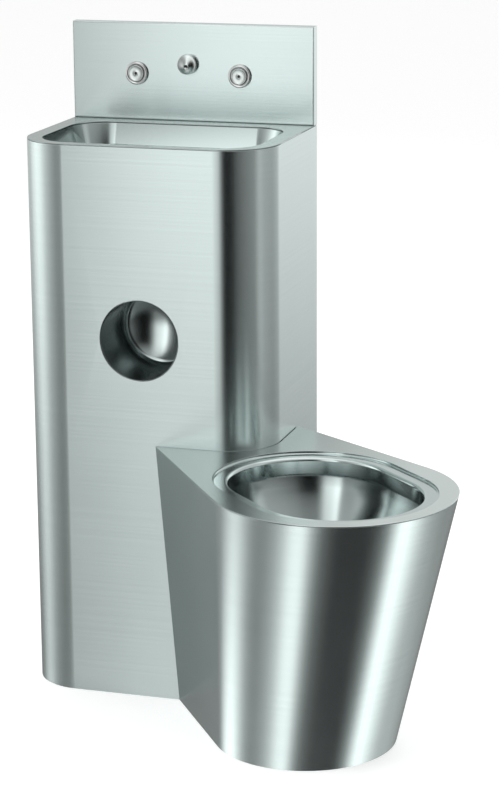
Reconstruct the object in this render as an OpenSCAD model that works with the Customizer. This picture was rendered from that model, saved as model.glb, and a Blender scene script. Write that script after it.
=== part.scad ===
// Toilet and basin combination unit in stainless steel sheet.
// A basin column stands against a wall, and a toilet pan leaves its front right corner at an angle.
// X runs along the wall, Y towards the wall and Z up. The origin is on the floor, at the wall,
// on the centre line of the column.

/* [Column] */
// Width of the column
column_w = 390; // [370:5:430]
// Depth of the column from the wall to its front face
column_d = 283; // [270:1:320]
// Radius of the column's two front corners
corner_r = 80; // [70:1:90]
// Height of the basin deck above the floor
deck_h = 850; // [830:5:900]
// Thickness of the sheet of the shells, the deck and the pan's plate
sheet_t = 2; // [1.5:0.1:2.5]
// Width of the returns folded in along the back edges
return_w = 25; // [18:1:32]
// Width of the flange inside the foot of the shells
foot_w = 30; // [20:1:40]
// Thickness of the foot flange
foot_t = 4; // [3:0.5:6]

/* [Splashback] */
// Height of the splashback above the deck
splash_h = 150; // [130:5:180]
// Thickness of the splashback from its face to the wall
splash_t = 18; // [16:0.5:24]
// Distance between the centres of the two push buttons
button_spacing = 167; // [150:1:180]
// Height of the push buttons above the deck
button_rise = 72; // [60:1:85]
// Height of the spout above the deck
spout_rise = 88; // [80:1:100]
// Place of the middle of the fittings along the wall
fittings_x = -6; // [-20:1:20]

/* [Basin] */
// Width of the deck on each side of the bowl
bowl_side = 26; // [25:1:40]
// Width of the deck in front of the bowl
bowl_front = 16; // [13:1:30]
// Distance from the wall to the back edge of the bowl
bowl_back = 48; // [45:1:52]
// Corner radius of the bowl at the deck
bowl_r = 56; // [45:1:62]
// Depth of the bowl below the deck
bowl_depth = 115; // [105:1:120]
// Thickness of the pressed bowls
bowl_t = 1.5; // [1.2:0.1:2]
// How far the bowl's walls draw in towards its floor
bowl_draw = 14; // [8:1:16]
// Radius between the bowl's walls and its floor
bowl_fillet = 42; // [36:1:44]
// Width of the flange that joins the bowl to the deck
flange_w = 8; // [6:0.5:10]
// How far the waste lies behind the middle of the bowl
waste_set = 17.5; // [14:0.5:20]

/* [Roll recess] */
// Inside diameter of the recess for the toilet roll
recess_d = 120; // [110:1:130]
// Depth of the straight wall of the recess
recess_l = 110; // [90:1:112]
// Depth of the dished end behind the straight wall
recess_dish = 18; // [12:1:20]
// Distance from the deck down to the middle of the recess
recess_drop = 290; // [285:5:320]

/* [Pan] */
// Height of the pan above the floor
pan_h = 400; // [390:5:430]
// Angle between the pan's axis and the column's front face
pan_turn = 45; // [43:1:47]
// Distance from the column's square corner to the front of the pan
pan_reach = 380; // [370:1:400]
// Radius of the front of the pan at the top
pan_r = 176; // [170:1:185]
// Distance from the column's square corner to the front of the foot
foot_reach = 254; // [240:1:270]
// Radius of the front of the foot
foot_r = 135; // [125:1:140]
// Angle between each side of the pan and its axis
pan_flare = 10; // [8:0.5:12]
// Width of the plate in front of the opening
plate_front = 22; // [18:1:30]
// Width of the plate between the column's rounded corner and the opening
plate_back = 29; // [24:1:36]
// Radius of each end of the opening in the plate
opening_r = 140; // [132:1:142]
// Width of the sunk ledge round the opening
ledge_w = 22; // [18:1:26]
// How far the ledge lies below the plate
ledge_drop = 4; // [3:0.5:6]
// Height of the rim's inner wall below the ledge
rim_drop = 27; // [24:1:30]
// Distance from the column's square corner to the pan's sump
sump_mid = 150; // [145:1:155]
// Height of the joint between the bowl's sump and the trap
sump_h = 118; // [116:1:122]

/* [Outlets] */
// Outside diameter of the soil pipe
soil_d = 102; // [98:1:104]
// Height of the soil pipe above the floor
soil_h = 210; // [205:1:225]
// Radius of the trap's bends at their middle
trap_r = 60; // [58:1:62]
// Distance from the wall to the point where the pipes turn off the pan's axis
outlet_back = 88; // [80:1:95]
// Radius of the soil pipe's bend
soil_bend_r = 100; // [90:1:110]
// Outside diameter of the flush pipe
flush_d = 32; // [28:1:34]
// Distance from the pan's top down to the flush pipe
flush_drop = 48; // [44:1:52]
// Radius of the flush pipe's bend
flush_bend_r = 60; // [50:1:80]
// Outside diameter of the basin's waste pipe
waste_d = 32; // [28:1:34]
// Thickness of the wall that the unit is fixed through
wall_t = 100; // [60:5:150]
// How far the pipes stand out behind the wall
pipe_stub = 30; // [20:5:60]

/* [Fixings] */
// Diameter of the fixing studs behind the unit
stud_d = 12; // [10:1:12]
// Diameter of the studs' ends inside the unit
stud_inner_d = 10; // [8:1:12]
// Distance from the column's side to the studs
stud_inset = 45; // [40:5:65]
// Height of the lower studs above the floor
stud_low = 80; // [70:5:100]
// Distance from the deck down to the upper studs
stud_drop = 70; // [65:5:80]
// Height of the two rails that carry the studs
rail_h = 50; // [40:1:56]
// Depth of the rails
rail_w = 28; // [24:1:30]
// Thickness of the rails
rail_t = 3; // [2.5:0.5:4]

/* [Fittings] */
// Diameter of the ring round each push button
bezel_d = 36; // [34:0.5:40]
// How far the ring stands out from its washer
bezel_h = 4.5; // [3:0.5:6]
// Diameter of the push buttons
button_d = 25; // [23:0.5:25.5]
// Travel of the push buttons
button_travel = 5; // [3:0.5:6]
// Diameter of the threaded shanks of the push buttons
shank_d = 28; // [28:0.5:30]
// Diameter of the push rods
rod_d = 8; // [6:0.5:9]
// Diameter of the spout at its base
spout_d = 31; // [28:0.5:34]
// How far the spout stands out from its washer
spout_l = 18; // [16:0.5:22]
// Diameter of the spout's outlet
outlet_d = 9; // [7:0.5:10]
// Diameter of the spout's threaded shank
spout_shank_d = 16; // [15:0.5:18]
// Diameter of the valve bodies behind the wall
valve_d = 40; // [36:1:44]
// Length of the valve bodies
valve_l = 50; // [46:1:60]
// Outside diameter of the tube from the basin valve to the spout
tube_d = 10; // [8:0.5:12]

/* [Hidden] */

$fn = 96;
hull_fn = 48;
ball_fn = 32;

// overrun of every cut, and the clearances of seated, running and loose pieces
overrun = 5;
seat_gap = 0.2;
run_gap = 0.06;
rod_gap = 0.5;
slab_t = 0.02;

// how far the pan's plan is drawn back into the column before the column cuts it
pan_tail = 150;
// doorway in the column's corner, behind the pan
door_w = 170;
door_foot = 30;
door_over = 5;
door_l = 175;

// basin waste: the sunk seat of the strainer, and the pieces clamped under the floor
seat_r = 33;
seat_drop = 3;
grid_t = 2;
grid_hole_r = 3.5;
grid_rows = [[6, 11], [12, 20]];
screw_r = 3;
screw_head_r = 5.5;
screw_head_t = 3;
screw_l = 22;
washer_t = 3;
waste_hole_r = 19;
body_flange_r = 30;
body_flange_t = 4;
body_r = 21;
body_l = 33;
body_wall = 3;
bar_w = 12;
bar_h = 8;
tail_l = 22;
tube_wall = 1.5;

// basin trap: a bend with a socket and a nut on each leg
bend_r = 32;
bend_d = 35;
bend_wall = 2.5;
socket_r = 20;
socket_l = 34;
socket_in = 12;
nut_r = 25;
nut_l = 20;
lip_t = 2;
ring_t = 1.5;
nut_rib_r = 1.5;
nut_ribs = 12;
trap_leg = 6;
pipe_bend_r = 30;

// soil and flush pipes
soil_wall = 2;
bead_h = 2;
bead_l = 6;
outlet_l = 30;
socket_t = 4;
socket_back = 10;
socket_front = 25;
coupling_t = 5;
coupling_l = 60;
clamp_t = 1;
clamp_w = 9;
clamp_screw_r = 5;
clamp_screw_l = 16;
chamber_w = 90;
chamber_back = 28;
chamber_front = 30;
chamber_low = 20;
chamber_top = 8;
window_w = 70;
window_h = 18;
seal_t = 5;
seal_l = 16;

// pan bowl: levels from the flange at the top to the sump, and the radius at each one
bowl_level_shares = [1, 0.86, 0.66, 0.44, 0.22, 0.08, 0];
bowl_radius_shares = [1, 0.91, 0.72, 0.485, 0.25, 0.1, 0];
bowl_band_in = 2;
throat_step = 2;

// spout, push buttons and valves
washer_thin = 1;
spout_cone_share = 0.56;
spout_nose_share = 0.78;
outlet_tilt = 50;
outlet_set = 7;
hex_nut_over = 4;
hex_nut_t = 8;
shank_over = 12;
button_head = 9;
button_proud = 1.5;
dot_r = 2;
dot_t = 0.8;
chamber_l = 24;
rod_play = 10;
coil_d = 18;
coil_wire = 1.4;
coil_turns = 6;
coil_steps = 16;
coil_sides = 6;
union_d = 22;
union_l = 18;
union_port_l = 6;
tube_drop = 24;
tube_bend_r = 16;
valve_gap = 5;
port_half_r = 10.5;
port_three_quarter_r = 13.2;
port_one_r = 16.6;
port_l = 16;
port_wall = 3;
port_collar = 2;
port_collar_l = 4;
valve_room_l = 8;

// studs
stud_gap = 0.5;
stud_nut_t = 8;
stud_nut_over = 3.5;
stud_collar = 4;
stud_inner_l = 16;

deck_z = deck_h - sheet_t;
bowl_w = column_w - 2 * bowl_side;
bowl_l = column_d - bowl_back - bowl_front;
bowl_mid_y = -bowl_back - bowl_l / 2;
waste_back = bowl_back + bowl_l / 2 - waste_set;
floor_z = deck_h - bowl_depth;
seat_z = floor_z - seat_drop;
body_top_z = seat_z - bowl_t - washer_t;
body_foot_z = body_top_z - body_flange_t - body_l;
tail_foot_z = body_foot_z - tail_l;
bend_mid_z = tail_foot_z - (socket_l - socket_in) - trap_leg;
recess_h = deck_h - recess_drop;
recess_ball_r = (pow(recess_d / 2, 2) + pow(recess_dish, 2)) / (2 * recess_dish);
opening_back = plate_back - corner_r * (1 / cos(pan_turn) - 1);
opening_straight = pan_reach - plate_front - opening_back - 2 * opening_r;
opening_mid = opening_back + opening_r + opening_straight / 2;
lip_r = opening_r - ledge_w;
ledge_z = pan_h - ledge_drop;
rim_foot_z = ledge_z - rim_drop;
flush_h = pan_h - flush_drop;
door_top = flush_h + flush_d / 2 + seal_t + door_over;
soil_r = soil_d / 2;
riser_mid = sump_mid - 2 * trap_r;
outlet_mid = riser_mid - trap_r;
outlet_end = outlet_mid - outlet_l;
corner_to_turn = (column_d - outlet_back) / sin(pan_turn);
turn_x = column_w / 2 - (column_d - outlet_back) / tan(pan_turn);
turn_y = -outlet_back;
soil_tangent = soil_bend_r * tan(pan_turn / 2);
flush_tangent = flush_bend_r * tan(pan_turn / 2);
wall_end = wall_t + pipe_stub;
stud_spacing = column_w - 2 * stud_inset;
stud_high = deck_h - stud_drop;
button_z = deck_h + button_rise;
spout_z = deck_h + spout_rise;
face_y = -splash_t - washer_thin;
shank_end = wall_t + shank_over;
valve_y = shank_end - valve_gap;
valve_mid_y = valve_y + valve_l / 2;

// Places its children in the pan's frame: X along the pan's axis from the column's square corner.
module at_pan() {
    translate([column_w / 2, -column_d, 0]) rotate([0, 0, -pan_turn]) children();
}

// A round bar along Y from one place to another.
module bar_y(r, from_y, to_y) {
    translate([0, from_y, 0]) rotate([-90, 0, 0]) cylinder(r = r, h = to_y - from_y);
}

// A round bar along X from one place to another.
module bar_x(r, from_x, to_x) {
    translate([from_x, 0, 0]) rotate([0, 90, 0]) cylinder(r = r, h = to_x - from_x);
}

// A quarter or half bend of a round bar: it starts along Z at radius bend_r from the origin
// and turns towards -X about the Y axis.
module bend_bar(r, middle_r, angle) {
    rotate([90, 0, 0]) rotate_extrude(angle = angle) translate([middle_r, 0]) circle(r = r);
}

// A hexagon nut along Y with a round hole.
module hex_nut_y(across, t, hole_r) {
    rotate([-90, 0, 0]) difference() {
        cylinder(d = across / cos(30), h = t, $fn = 6);
        translate([0, 0, -overrun]) cylinder(r = hole_r, h = t + 2 * overrun);
    }
}

// A flat ring along Y.
module ring_y(outer_r, inner_r, t) {
    rotate([-90, 0, 0]) difference() {
        cylinder(r = outer_r, h = t);
        translate([0, 0, -overrun]) cylinder(r = inner_r, h = t + 2 * overrun);
    }
}

// Plan of the column, drawn in by inset on all four sides.
module column_plan(inset) {
    translate([-column_w / 2 + inset, -column_d + corner_r])
        square([column_w - 2 * inset, column_d - corner_r - inset]);
    translate([-column_w / 2 + corner_r, -column_d + inset])
        square([column_w - 2 * corner_r, corner_r]);
    for (side = [-1, 1])
        translate([side * (column_w / 2 - corner_r), -column_d + corner_r])
            circle(r = corner_r - inset);
}

// The column's whole space, which cuts the pan's pieces off at its faces.
module column_space() {
    translate([0, 0, -overrun]) linear_extrude(deck_h) column_plan(0);
}

// Plan of the basin opening, grown by grow.
module bowl_plan(grow) {
    for (turn = [0, 1])
        translate([0, bowl_mid_y])
            square([bowl_w + 2 * grow - turn * 2 * (bowl_r + grow),
                bowl_l + 2 * grow - (1 - turn) * 2 * (bowl_r + grow)], center = true);
    for (side = [-1, 1], end = [-1, 1])
        translate([side * (bowl_w / 2 - bowl_r), bowl_mid_y + end * (bowl_l / 2 - bowl_r)])
            circle(r = bowl_r + grow);
}

// The basin bowl's space, grown by grow, from its rounded floor up to top_z.
module bowl_space(grow, top_z) {
    ball_x = bowl_w / 2 - bowl_draw - bowl_fillet;
    ball_y = bowl_l / 2 - bowl_draw - bowl_fillet;
    hull() {
        translate([0, 0, top_z]) linear_extrude(slab_t) bowl_plan(grow, $fn = hull_fn);
        for (side = [-1, 1], end = [-1, 1])
            translate([side * ball_x, bowl_mid_y + end * ball_y, floor_z + bowl_fillet])
                sphere(r = bowl_fillet + grow, $fn = ball_fn);
    }
}

// Plan of the pan at height z in its own frame, drawn in by inset.
module pan_plan(z, inset) {
    share = z / pan_h;
    r = foot_r + (pan_r - foot_r) * share;
    mid = foot_reach - foot_r + (pan_reach - pan_r - foot_reach + foot_r) * share;
    r_in = r - inset;
    tangent = [mid - r_in * sin(pan_flare), r_in * cos(pan_flare)];
    tail_half = r_in / cos(pan_flare) - (mid + pan_tail) * tan(pan_flare);
    translate([mid, 0]) circle(r = r_in);
    polygon([[-pan_tail, -tail_half], [tangent[0], -tangent[1]], [mid, 0],
        tangent, [-pan_tail, tail_half]]);
}

// A stadium about the middle of the pan's opening.
module opening_plan(r) {
    translate([opening_mid, 0]) {
        square([opening_straight, 2 * r], center = true);
        for (end = [-1, 1]) translate([end * opening_straight / 2, 0]) circle(r = r);
    }
}

// The pan bowl's funnel, grown by grow, from below the rim down to the sump.
module funnel_space(grow) {
    top_r = opening_r - bowl_band_in;
    low_r = soil_r - soil_wall + throat_step;
    levels = len(bowl_level_shares);
    hull() for (i = [0 : levels - 1]) {
        level = bowl_level_shares[i];
        wide = bowl_radius_shares[i];
        r = low_r + (top_r - low_r) * wide + grow;
        half = opening_straight / 2 * wide;
        translate([sump_mid + (opening_mid - sump_mid) * wide, 0,
                sump_h + trap_r / 2 + (rim_foot_z - sump_h - trap_r / 2) * level])
            linear_extrude(slab_t) for (end = [-1, 1])
                translate([end * half, 0]) circle(r = r, $fn = hull_fn);
    }
}

module column_shell() {
    color("lightsteelblue") difference() {
        linear_extrude(deck_z) difference() {
            column_plan(0);
            column_plan(sheet_t);
        }
        translate([-column_w / 2 + return_w, -sheet_t - overrun, -overrun])
            cube([column_w - 2 * return_w, sheet_t + 2 * overrun, deck_h + 2 * overrun]);
        translate([0, 0, recess_h])
            bar_y(recess_d / 2 + bowl_t + seat_gap, -column_d - overrun, -column_d + sheet_t + overrun);
        at_pan() translate([-door_l / 2, -door_w / 2, door_foot])
            cube([door_l, door_w, door_top - door_foot]);
    }
}

module column_foot() {
    color("lightsteelblue") linear_extrude(foot_t) difference() {
        column_plan(sheet_t);
        column_plan(sheet_t + foot_w);
    }
}

// A channel across the back, open to the front, with a hole for each of its two studs.
module rail(z) {
    rail_l = column_w - 2 * sheet_t;
    difference() {
        translate([-rail_l / 2, -sheet_t - rail_w, z - rail_h / 2]) cube([rail_l, rail_w, rail_h]);
        translate([-rail_l / 2 - overrun, -sheet_t - rail_w - rail_t, z - rail_h / 2 + rail_t])
            cube([rail_l + 2 * overrun, rail_w, rail_h - 2 * rail_t]);
        for (side = [-1, 1])
            translate([side * stud_spacing / 2, 0, z])
                bar_y(stud_inner_d / 2 + stud_gap, -sheet_t - rail_w, overrun);
    }
}

module rail_top() {
    color("gainsboro") rail(stud_high);
}

module rail_bottom() {
    color("gainsboro") rail(stud_low);
}

module basin_deck() {
    color("lightsteelblue") translate([0, 0, deck_z]) linear_extrude(sheet_t) difference() {
        column_plan(0);
        bowl_plan(0);
    }
}

module basin_bowl() {
    color("silver") difference() {
        union() {
            bowl_space(bowl_t, deck_z - bowl_t);
            translate([0, 0, deck_z - bowl_t]) linear_extrude(bowl_t) bowl_plan(flange_w);
            translate([0, -waste_back, seat_z - bowl_t])
                cylinder(r = seat_r + bowl_t, h = seat_drop + bowl_t);
        }
        bowl_space(0, deck_z);
        translate([0, -waste_back, seat_z]) cylinder(r = seat_r, h = seat_drop + overrun);
        translate([0, -waste_back, seat_z - overrun]) cylinder(r = waste_hole_r, h = 2 * overrun);
    }
}

module splashback() {
    color("lightsteelblue") difference() {
        translate([-column_w / 2, -splash_t, deck_h]) cube([column_w, splash_t, splash_h]);
        translate([-column_w / 2 + sheet_t, -splash_t + sheet_t, deck_h + sheet_t])
            cube([column_w - 2 * sheet_t, splash_t, splash_h - 2 * sheet_t]);
        for (side = [-1, 1])
            translate([fittings_x + side * button_spacing / 2, 0, button_z])
                bar_y(shank_d / 2 + seat_gap, -splash_t - overrun, 0);
        translate([fittings_x, 0, spout_z])
            bar_y(spout_shank_d / 2 + seat_gap, -splash_t - overrun, 0);
    }
}

// Half profile of the recess cup about its axis, grown by grow, from its mouth to its dished end.
module recess_profile(grow, mouth) {
    intersection() {
        translate([0, -mouth]) square([recess_d / 2 + grow, recess_l + recess_dish + mouth + grow]);
        union() {
            translate([0, -mouth]) square([recess_d / 2 + grow, recess_l + mouth]);
            translate([0, recess_l + recess_dish - recess_ball_r]) circle(r = recess_ball_r + grow);
        }
    }
}

module roll_recess() {
    color("silver") translate([0, -column_d, recess_h]) rotate([-90, 0, 0])
        rotate_extrude() difference() {
            recess_profile(bowl_t, 0);
            recess_profile(0, overrun);
        }
}

module pan_shroud() {
    color("lightsteelblue") difference() {
        at_pan() difference() {
            hull() for (z = [0, pan_h - sheet_t - slab_t])
                translate([0, 0, z]) linear_extrude(slab_t) pan_plan(z, 0);
            hull() for (z = [-overrun, pan_h + overrun])
                translate([0, 0, z]) linear_extrude(slab_t) pan_plan(z, sheet_t);
        }
        column_space();
    }
}

module pan_foot() {
    color("lightsteelblue") difference() {
        at_pan() linear_extrude(foot_t) difference() {
            pan_plan(0, sheet_t);
            pan_plan(0, sheet_t + foot_w);
        }
        column_space();
    }
}

module pan_top() {
    color("lightsteelblue") difference() {
        at_pan() translate([0, 0, pan_h - sheet_t]) linear_extrude(sheet_t) difference() {
            pan_plan(pan_h, 0);
            opening_plan(opening_r);
        }
        column_space();
    }
}

// The ledge round the opening, its outer upstand and the rim's inner wall.
module flush_rim() {
    color("silver") at_pan() {
        translate([0, 0, ledge_z - bowl_t]) linear_extrude(bowl_t) difference() {
            opening_plan(opening_r + bowl_t);
            opening_plan(lip_r);
        }
        translate([0, 0, ledge_z - bowl_t]) linear_extrude(pan_h - sheet_t - ledge_z + bowl_t)
            difference() {
                opening_plan(opening_r + bowl_t);
                opening_plan(opening_r);
            }
        translate([0, 0, rim_foot_z]) linear_extrude(rim_drop) difference() {
            opening_plan(lip_r + bowl_t);
            opening_plan(lip_r);
        }
    }
}

module pan_bowl() {
    band_r = opening_r - bowl_band_in;
    throat_h = trap_r / 2;
    color("silver") at_pan() difference() {
        union() {
            funnel_space(bowl_t);
            translate([0, 0, rim_foot_z]) linear_extrude(rim_drop - bowl_t)
                opening_plan(band_r + bowl_t);
            translate([sump_mid, 0, sump_h]) cylinder(r = soil_r, h = throat_h + bowl_t);
        }
        funnel_space(0);
        translate([0, 0, rim_foot_z]) linear_extrude(rim_drop + overrun) opening_plan(band_r);
        translate([sump_mid, 0, sump_h - overrun])
            cylinder(r = soil_r - soil_wall, h = throat_h + 2 * overrun);
        translate([opening_mid - opening_straight / 2 - band_r - overrun, -window_w / 2, 0])
            translate([0, 0, rim_foot_z + bowl_t]) cube([opening_r / 2, window_w, window_h]);
    }
}

// A closed box behind the bowl that spreads the flush water into the rim.
module flush_chamber() {
    low_z = flush_h - chamber_low;
    high_z = ledge_z - chamber_top;
    color("silver") at_pan() difference() {
        translate([-chamber_back, -chamber_w / 2, low_z])
            cube([chamber_back + chamber_front, chamber_w, high_z - low_z]);
        translate([-chamber_back + bowl_t, -chamber_w / 2 + bowl_t, low_z + bowl_t])
            cube([chamber_back + chamber_front, chamber_w - 2 * bowl_t, high_z - low_z - 2 * bowl_t]);
        funnel_space(bowl_t + seat_gap);
        translate([0, 0, rim_foot_z]) linear_extrude(rim_drop + overrun)
            opening_plan(opening_r - bowl_band_in + bowl_t + seat_gap);
        translate([0, 0, flush_h])
            bar_x(flush_d / 2 + seat_gap, -chamber_back - overrun, -chamber_back + overrun);
    }
}

// The trap's water way: a half bend under the sump, a riser, a bend and a straight outlet.
module trap_way(r, extra) {
    translate([sump_mid - trap_r, 0, sump_h]) mirror([0, 0, 1]) bend_bar(r, trap_r, 180);
    translate([riser_mid, 0, sump_h]) cylinder(r = r, h = soil_h - trap_r - sump_h);
    translate([outlet_mid, 0, soil_h - trap_r]) bend_bar(r, trap_r, 90);
    translate([0, 0, soil_h]) bar_x(r, outlet_end - extra, outlet_mid);
    if (extra > 0) translate([sump_mid, 0, sump_h]) cylinder(r = r, h = extra);
}

module pan_trap() {
    color("silver") at_pan() difference() {
        trap_way(soil_r, 0);
        trap_way(soil_r - soil_wall, overrun);
    }
}

// A straight tube in the pan's frame, which ends in a bend's socket.
module link_pipe(z, r, wall, tangent, to_x) {
    at_pan() translate([0, 0, z]) difference() {
        bar_x(r, -corner_to_turn + tangent + seat_gap, to_x);
        bar_x(r - wall, -corner_to_turn + tangent - overrun, to_x + overrun);
    }
}

// A straight tube from a bend's socket through the wall, with a stop bead at the back of the unit.
module tail_pipe(z, r, wall, tangent) {
    translate([turn_x, 0, z]) difference() {
        union() {
            bar_y(r, turn_y + tangent + seat_gap, wall_end);
            bar_y(r + bead_h, -bead_l, 0);
        }
        bar_y(r - wall, turn_y + tangent - overrun, wall_end + overrun);
    }
}

// A bend from the pan's axis to the wall, with a socket at each end.
module socket_bend(z, r, wall, middle_r, tangent) {
    start = -corner_to_turn + tangent;
    difference() {
        union() {
            turn_bar(z, r, middle_r, start);
            at_pan() translate([0, 0, z]) bar_x(r + socket_t, start - socket_back, start + socket_front);
            translate([turn_x, 0, z])
                bar_y(r + socket_t, turn_y + tangent - socket_back, turn_y + tangent + socket_front);
        }
        turn_bar(z, r - wall, middle_r, start);
        at_pan() translate([0, 0, z])
            bar_x(r + seat_gap, start - seat_gap, start + socket_front + overrun);
        translate([turn_x, 0, z])
            bar_y(r + seat_gap, turn_y + tangent - seat_gap, turn_y + tangent + socket_front + overrun);
    }
}

// The bent stretch between a bend's two sockets.
module turn_bar(z, r, middle_r, start) {
    at_pan() translate([start, middle_r, z]) rotate([0, 0, -90 - pan_turn])
        rotate_extrude(angle = pan_turn) translate([middle_r, 0]) circle(r = r);
}

module soil_link() {
    color("silver") link_pipe(soil_h, soil_r, soil_wall, soil_tangent, outlet_end - seat_gap);
}

module soil_bend() {
    color("silver") socket_bend(soil_h, soil_r, soil_wall, soil_bend_r, soil_tangent);
}

module soil_pipe() {
    color("silver") tail_pipe(soil_h, soil_r, soil_wall, soil_tangent);
}

module flush_link() {
    color("silver") link_pipe(flush_h, flush_d / 2, tube_wall, flush_tangent, -chamber_back + bowl_t);
}

module flush_bend() {
    color("silver") socket_bend(flush_h, flush_d / 2, tube_wall, flush_bend_r, flush_tangent);
}

module flush_pipe() {
    color("silver") tail_pipe(flush_h, flush_d / 2, tube_wall, flush_tangent);
}

// A tube along the pan's axis.
module pan_sleeve(z, inner_r, outer_r, from_x, to_x) {
    at_pan() translate([0, 0, z]) difference() {
        bar_x(outer_r, from_x, to_x);
        bar_x(inner_r, from_x - overrun, to_x + overrun);
    }
}

module soil_coupling() {
    color("dimgray") pan_sleeve(soil_h, soil_r + seat_gap, soil_r + coupling_t,
        outlet_end - coupling_l / 2, outlet_end + coupling_l / 2);
}

module coupling_clamps() {
    clamp_r = soil_r + coupling_t + seat_gap;
    color("gainsboro") for (side = [-1, 1]) {
        start = outlet_end + side * coupling_l / 4 - clamp_w / 2;
        pan_sleeve(soil_h, clamp_r, clamp_r + clamp_t, start, start + clamp_w);
        at_pan() translate([start + clamp_w / 2, -clamp_screw_l / 2, soil_h + clamp_r + clamp_screw_r])
            rotate([-90, 0, 0]) cylinder(r = clamp_screw_r, h = clamp_screw_l);
    }
}

module flush_seal() {
    color("dimgray") pan_sleeve(flush_h, flush_d / 2 + seat_gap, flush_d / 2 + seal_t,
        -chamber_back - seal_l, -chamber_back);
}

// Places its children at the waste, with Z at the sunk seat.
module at_waste(z) {
    translate([0, -waste_back, z]) children();
}

module waste_grid() {
    color("silver") at_waste(seat_z) difference() {
        cylinder(r = seat_r - seat_gap, h = grid_t);
        translate([0, 0, -overrun]) cylinder(r = screw_r + seat_gap, h = grid_t + 2 * overrun);
        for (row = grid_rows, i = [0 : row[0] - 1])
            rotate([0, 0, 360 * i / row[0]]) translate([row[1], 0, -overrun])
                cylinder(r = grid_hole_r, h = grid_t + 2 * overrun);
    }
}

module grid_screw() {
    color("gainsboro") at_waste(seat_z + grid_t) {
        cylinder(r = screw_head_r, h = screw_head_t);
        translate([0, 0, -screw_l]) cylinder(r = screw_r, h = screw_l);
    }
}

module waste_seal() {
    color("dimgray") at_waste(body_top_z) difference() {
        cylinder(r = body_flange_r, h = washer_t);
        translate([0, 0, -overrun]) cylinder(r = waste_hole_r, h = washer_t + 2 * overrun);
    }
}

module waste_body() {
    in_r = body_r - body_wall;
    tail_r = waste_d / 2;
    body_h = body_flange_t + body_l;
    color("gold") at_waste(body_foot_z) difference() {
        union() {
            translate([0, 0, body_l]) cylinder(r = body_flange_r, h = body_flange_t);
            cylinder(r = body_r, h = body_h);
            translate([0, 0, -tail_l]) cylinder(r = tail_r, h = tail_l);
        }
        difference() {
            translate([0, 0, body_wall]) cylinder(r = in_r, h = body_h);
            translate([-body_r, -bar_w / 2, body_h - screw_l + washer_t]) cube([2 * body_r, bar_w, bar_h]);
        }
        translate([0, 0, -tail_l - overrun])
            cylinder(r = tail_r - tube_wall, h = tail_l + body_wall + 2 * overrun);
        cylinder(r = screw_r + seat_gap, h = body_h);
    }
}

// Places its children on the two upright legs of the basin trap: the inlet and the outlet.
module on_trap_legs() {
    for (leg = [0, 1]) translate([0, -waste_back + leg * 2 * bend_r, bend_mid_z]) children();
}

module trap_bend() {
    color("whitesmoke") difference() {
        union() {
            translate([0, -waste_back + bend_r, bend_mid_z]) rotate([0, 0, -90]) mirror([0, 0, 1])
                bend_bar(bend_d / 2, bend_r, 180);
            on_trap_legs() {
                cylinder(r = bend_d / 2, h = trap_leg);
                translate([0, 0, trap_leg]) cylinder(r = socket_r, h = socket_l);
            }
        }
        translate([0, -waste_back + bend_r, bend_mid_z]) rotate([0, 0, -90]) mirror([0, 0, 1])
            bend_bar(bend_d / 2 - bend_wall, bend_r, 180);
        on_trap_legs() {
            cylinder(r = bend_d / 2 - bend_wall, h = trap_leg + overrun);
            translate([0, 0, trap_leg + socket_in - seat_gap])
                cylinder(r = waste_d / 2 + seat_gap, h = socket_l);
            translate([0, 0, trap_leg]) cylinder(r = bend_d / 2 - bend_wall, h = socket_l);
        }
    }
}

module trap_nuts() {
    nut_foot = trap_leg + socket_l + ring_t + lip_t - nut_l;
    color("whitesmoke") on_trap_legs() translate([0, 0, nut_foot]) difference() {
        union() {
            cylinder(r = nut_r, h = nut_l);
            for (i = [0 : nut_ribs - 1]) rotate([0, 0, 360 * i / nut_ribs])
                translate([nut_r, 0, 0]) cylinder(r = nut_rib_r, h = nut_l - lip_t);
        }
        translate([0, 0, -overrun]) cylinder(r = socket_r + seat_gap, h = nut_l - lip_t + overrun);
        cylinder(r = waste_d / 2 + seat_gap, h = nut_l + overrun);
    }
}

module trap_washers() {
    color("dimgray") on_trap_legs() translate([0, 0, trap_leg + socket_l]) difference() {
        cylinder(r = socket_r - seat_gap, h = ring_t);
        translate([0, 0, -overrun]) cylinder(r = waste_d / 2 + seat_gap, h = ring_t + 2 * overrun);
    }
}

// The waste pipe's way: up out of the trap, through a bend and straight through the wall.
module waste_way(r, extra) {
    leg_y = -waste_back + 2 * bend_r;
    foot_z = bend_mid_z + trap_leg + socket_in;
    turn_z = foot_z + socket_l;
    translate([0, leg_y, foot_z - extra]) cylinder(r = r, h = turn_z - foot_z + extra);
    translate([0, leg_y + pipe_bend_r, turn_z]) rotate([0, 0, -90]) bend_bar(r, pipe_bend_r, 90);
    translate([0, 0, turn_z + pipe_bend_r]) bar_y(r, leg_y + pipe_bend_r, wall_end + extra);
}

module waste_pipe() {
    color("whitesmoke") difference() {
        waste_way(waste_d / 2, 0);
        waste_way(waste_d / 2 - tube_wall, overrun);
    }
}

// Places its children at the spout's axis.
module at_spout() {
    translate([fittings_x, 0, spout_z]) children();
}

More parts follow.
